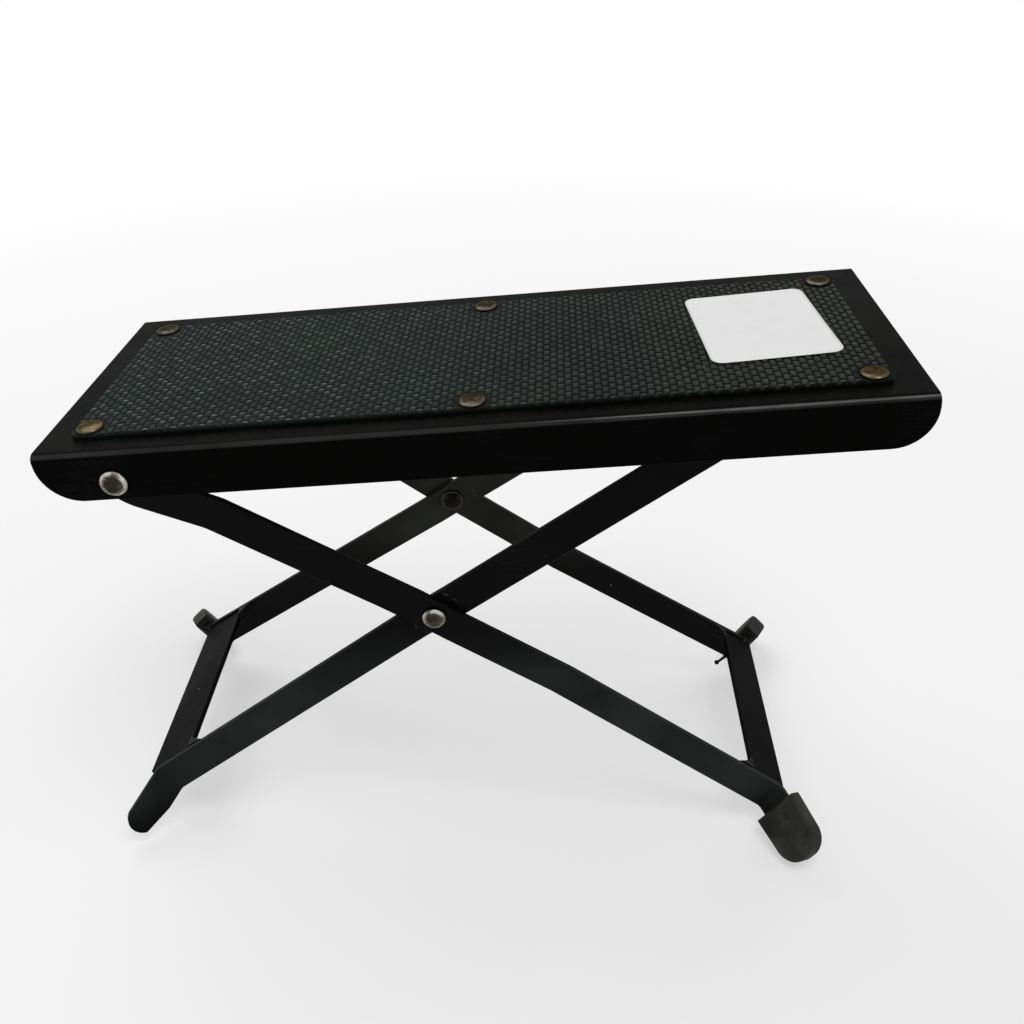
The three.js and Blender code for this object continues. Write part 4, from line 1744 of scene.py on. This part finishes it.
@dataclass
class Legs(SubAssembly):
    """A pair of legs with the crossbar that is welded between them."""

    stem: ClassVar[str]
    # The far legs' base colour and their painted sheen, which lies higher up on them
    far_look: ClassVar[dict[str, Any]] = {
        "base": (0.0055, 0.0058, 0.0054, 1.0),
        "painted_sheen": (0.034, 0.037, 0.031, 1.0),
        "sheen_band": (66 * MM, 96 * MM, 118 * MM, 150 * MM),
    }

    def look(self, side: Side) -> dict[str, Any]:
        """Returns how a side's enamel differs from the usual."""
        return self.far_look if side is Side.FAR else {}

    def leg_enamel(self, side: Side) -> LegEnamel:
        """Returns the enamel of one leg."""
        return LegEnamel(f"{side.value} leg enamel", **self.look(side))

    def dress(self) -> None:
        """Dresses the bars, the crossbar and its welds."""
        self.coat(f"{self.stem}_crossbar", CROSSBAR_ENAMEL)
        for side in Side:
            self.coat(f"{self.stem}_leg_{side.value}", self.leg_enamel(side))
            self.coat(f"{self.stem}_weld_{side.value}", WELD_ENAMEL, WELD_EDGE)


@dataclass
class OuterLegs(Legs):
    """The outer pair of legs, with its boots, a drip of weld and the rivets of the crossing."""

    body = Body.OUTER_LEGS
    stem = "outer"

    rivet: RivetForm = RivetForm(
        head=9.4 * MM,
        dome=2.1 * MM,
        shank=5 * MM,
        tail=7.6 * MM,
        tail_dome=1.5 * MM,
        rim=0.45 * MM,
        dents=1,
        core=(0.05, 0.3),
    )
    # The form's core places a dark core that is a painted dark reflection; the pale rim is partly
    # rubbed wear and partly a painted highlight
    finish: Nickel = Nickel(
        "nickel crossing",
        bright=(0.27, 0.25, 0.21, 1.0),
        brown=(0.02, 0.013, 0.008, 1.0),
        rubbed=(0.55, 0.53, 0.48, 1.0),
        tarnish=0.6,
        painted_dark_core=0.95,
        gloss=(0.1, 0.2),
    )
    # a darker copy of the boot rubber for the far boot: painted shade
    shaded_far_boot: BootRubber = BootRubber(
        "darker boot rubber",
        base=(0.004, 0.0041, 0.0036, 1.0),
        scuffed=(0.02, 0.0205, 0.017, 1.0),
    )
    drip: WeldDrip = WeldDrip()

    def build(self) -> list[Object]:
        """Builds the crossing rivets and the drip that the far weld left.

        Returns:
            The pieces.
        """
        pieces = self.pivot_rivets("crossing_rivet", self.rivet, self.finish)
        low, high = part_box("outer_weld_far")
        drip = self.drip.make("weld_drip", Vector((high.x, high.y, low.z)))
        return pieces + [self.join_in(drip, WELD_ENAMEL, Slot.WELD)]

    def dress(self) -> None:
        """Dresses the bars, welds, boots and washers."""
        super().dress()
        self.coat("outer_boot_near", BOOT_RUBBER, MOULDED_EDGE)
        self.coat("outer_boot_far", self.shaded_far_boot, MOULDED_EDGE)
        for side in Side:
            self.coat(f"crossing_washer_{side.value}", DARK_STEEL, WASHER_EDGE)


@dataclass
class InnerLegs(Legs):
    """The inner pair of legs, with its one boot and the rod that carries the tread."""

    body = Body.INNER_LEGS
    stem = "inner"

    def leg_enamel(self, side: Side) -> PivotEnamel:
        """Returns the enamel of one leg, rubbed in an arc round the crossing."""
        pivot = tuple(self.joints["scissor_fold"]["pos_m"])
        return PivotEnamel(f"rubbed {side.value} leg enamel", pivot=pivot, **self.look(side))

    def dress(self) -> None:
        """Dresses the bars, welds, boot and rod."""
        super().dress()
        self.coat("inner_boot_far", BOOT_RUBBER, MOULDED_EDGE)
        self.coat("notch_rod", DARK_STEEL, TURNED_EDGE)


@dataclass(frozen=True)
class Lamp:
    """A soft square lamp: its place, the length of its sides and its power in watts."""

    name: str
    place: Triple
    size: float
    power: float

    def hang(self, target: Vector) -> None:
        """Hangs the lamp and points it at a target.

        Args:
            target: Where it points.
        """
        data = bpy.data.lights.new(self.name, "AREA")
        data.shape = "SQUARE"
        data.size = self.size
        data.energy = self.power
        lamp = bpy.data.objects.new(self.name, data)
        lamp.location = self.place
        way = target - Vector(self.place)
        lamp.rotation_euler = way.to_track_quat("-Z", "Y").to_euler()
        bpy.context.scene.collection.objects.link(lamp)


@dataclass
class Studio:
    """A pale floor, soft lamps, a pale world and the camera at the photograph's viewing angle."""

    floor_half: float = 9.0
    floor_colour: Colour = (0.86, 0.86, 0.86, 1.0)
    floor_fade: Ramp = (0.3, 1.1, 0.5, 1.0)
    world_level: float = 0.45
    lit_place: Triple = (0.0, 0.0, 0.15)
    lamps: tuple[Lamp, ...] = (
        Lamp("back lamp", (-0.6, 0.75, 1.5), size=1.1, power=10.5),
        Lamp("top lamp", (0.3, -0.35, 1.55), size=0.75, power=8.0),
    )
    lens: float = 34.578
    sensor: float = 36.0
    clip: tuple[float, float] = (0.01, 50.0)
    shift: tuple[float, float] = (-0.01352, -0.09108)
    eye: Triple = (0.029666, -0.331594, 0.364049)
    heading: float = math.radians(-1.321)
    down: float = math.radians(29.846)
    roll: float = math.radians(-0.057)

    def build(self) -> None:
        """Builds the floor, lamps, world and camera."""
        self.floor()
        self.world()
        for lamp in self.lamps:
            lamp.hang(Vector(self.lit_place))
        self.camera()

    def floor(self) -> None:
        """Builds the floor, clear from below."""
        half = self.floor_half
        ends = ((-half, -half), (half, -half), (half, half), (-half, half))
        floor = mesh_piece("floor", [Vector((x, y, 0.0)) for x, y in ends], [(0, 1, 2, 3)])
        made = bpy.data.materials.new("pale floor")
        graph = Graph(cleared(made))
        lit = graph.add("ShaderNodeBsdfDiffuse", {"Color": self.floor_colour}).outputs[0]
        white = graph.add("ShaderNodeEmission", {"Color": WHITE, "Strength": 1.0}).outputs[0]
        away = graph.away(graph.place(), (1.0, 1.0, 0.0))
        share = graph.product(self.seen(graph), graph.remap(away, *self.floor_fade))
        above = graph.add("ShaderNodeMixShader", {0: share, 1: lit, 2: white}).outputs[0]
        below = graph.add("ShaderNodeNewGeometry").outputs["Backfacing"]
        clear = graph.add("ShaderNodeBsdfTransparent").outputs[0]
        one_sided = graph.add("ShaderNodeMixShader", {0: below, 1: above, 2: clear}).outputs[0]
        graph.add("ShaderNodeOutputMaterial", {"Surface": one_sided})
        floor.data.materials.append(made)

    def seen(self, graph: Graph) -> Socket:
        """Tells rays that the camera, metal and glass send from the rest.

        Args:
            graph: The graph that needs it.

        Returns:
            1 for those rays and 0 for the rest.
        """
        rays = graph.add("ShaderNodeLightPath").outputs
        both = graph.math("ADD", rays["Is Camera Ray"], rays["Is Glossy Ray"])
        return graph.math("ADD", both, rays["Is Transmission Ray"], clamp=True)

    def world(self) -> None:
        """Makes a world that is white to look at and lights softly."""
        world = bpy.data.worlds.new("pale world")
        bpy.context.scene.world = world
        graph = Graph(cleared(world))
        level = graph.remap(self.seen(graph), 0.0, 1.0, self.world_level, 1.0)
        sky = graph.add("ShaderNodeBackground", {"Color": WHITE, "Strength": level})
        graph.add("ShaderNodeOutputWorld", {"Surface": sky.outputs[0]})

    def camera(self) -> None:
        """Adds the camera."""
        data = bpy.data.cameras.new("camera")
        data.lens, data.sensor_width = self.lens, self.sensor
        data.shift_x, data.shift_y = self.shift
        data.clip_start, data.clip_end = self.clip
        camera = bpy.data.objects.new("camera", data)
        turn = (
            Matrix.Rotation(-self.heading, 4, "Z")
            @ Matrix.Rotation(math.pi / 2 - self.down, 4, "X")
            @ Matrix.Rotation(self.roll, 4, "Z")
        )
        camera.matrix_world = Matrix.Translation(self.eye) @ turn
        bpy.context.scene.collection.objects.link(camera)
        bpy.context.scene.camera = camera


def main() -> None:
    """Loads the frame, dresses each sub-assembly in order and sets the studio."""
    logging.basicConfig(level=logging.INFO, format="%(message)s")
    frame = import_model()
    bpy.context.scene.view_settings.view_transform = "Standard"
    finishes = Finishes()
    for kind in (OuterLegs, InnerLegs, HingePins, Tread):
        group = kind(frame, finishes)
        group.dress()
        for piece in group.build():
            LOG.info("%s carries %s", group.body.value, piece.name)
    Studio().build()
    bpy.context.view_layer.update()


if __name__ == "__main__":
    main()
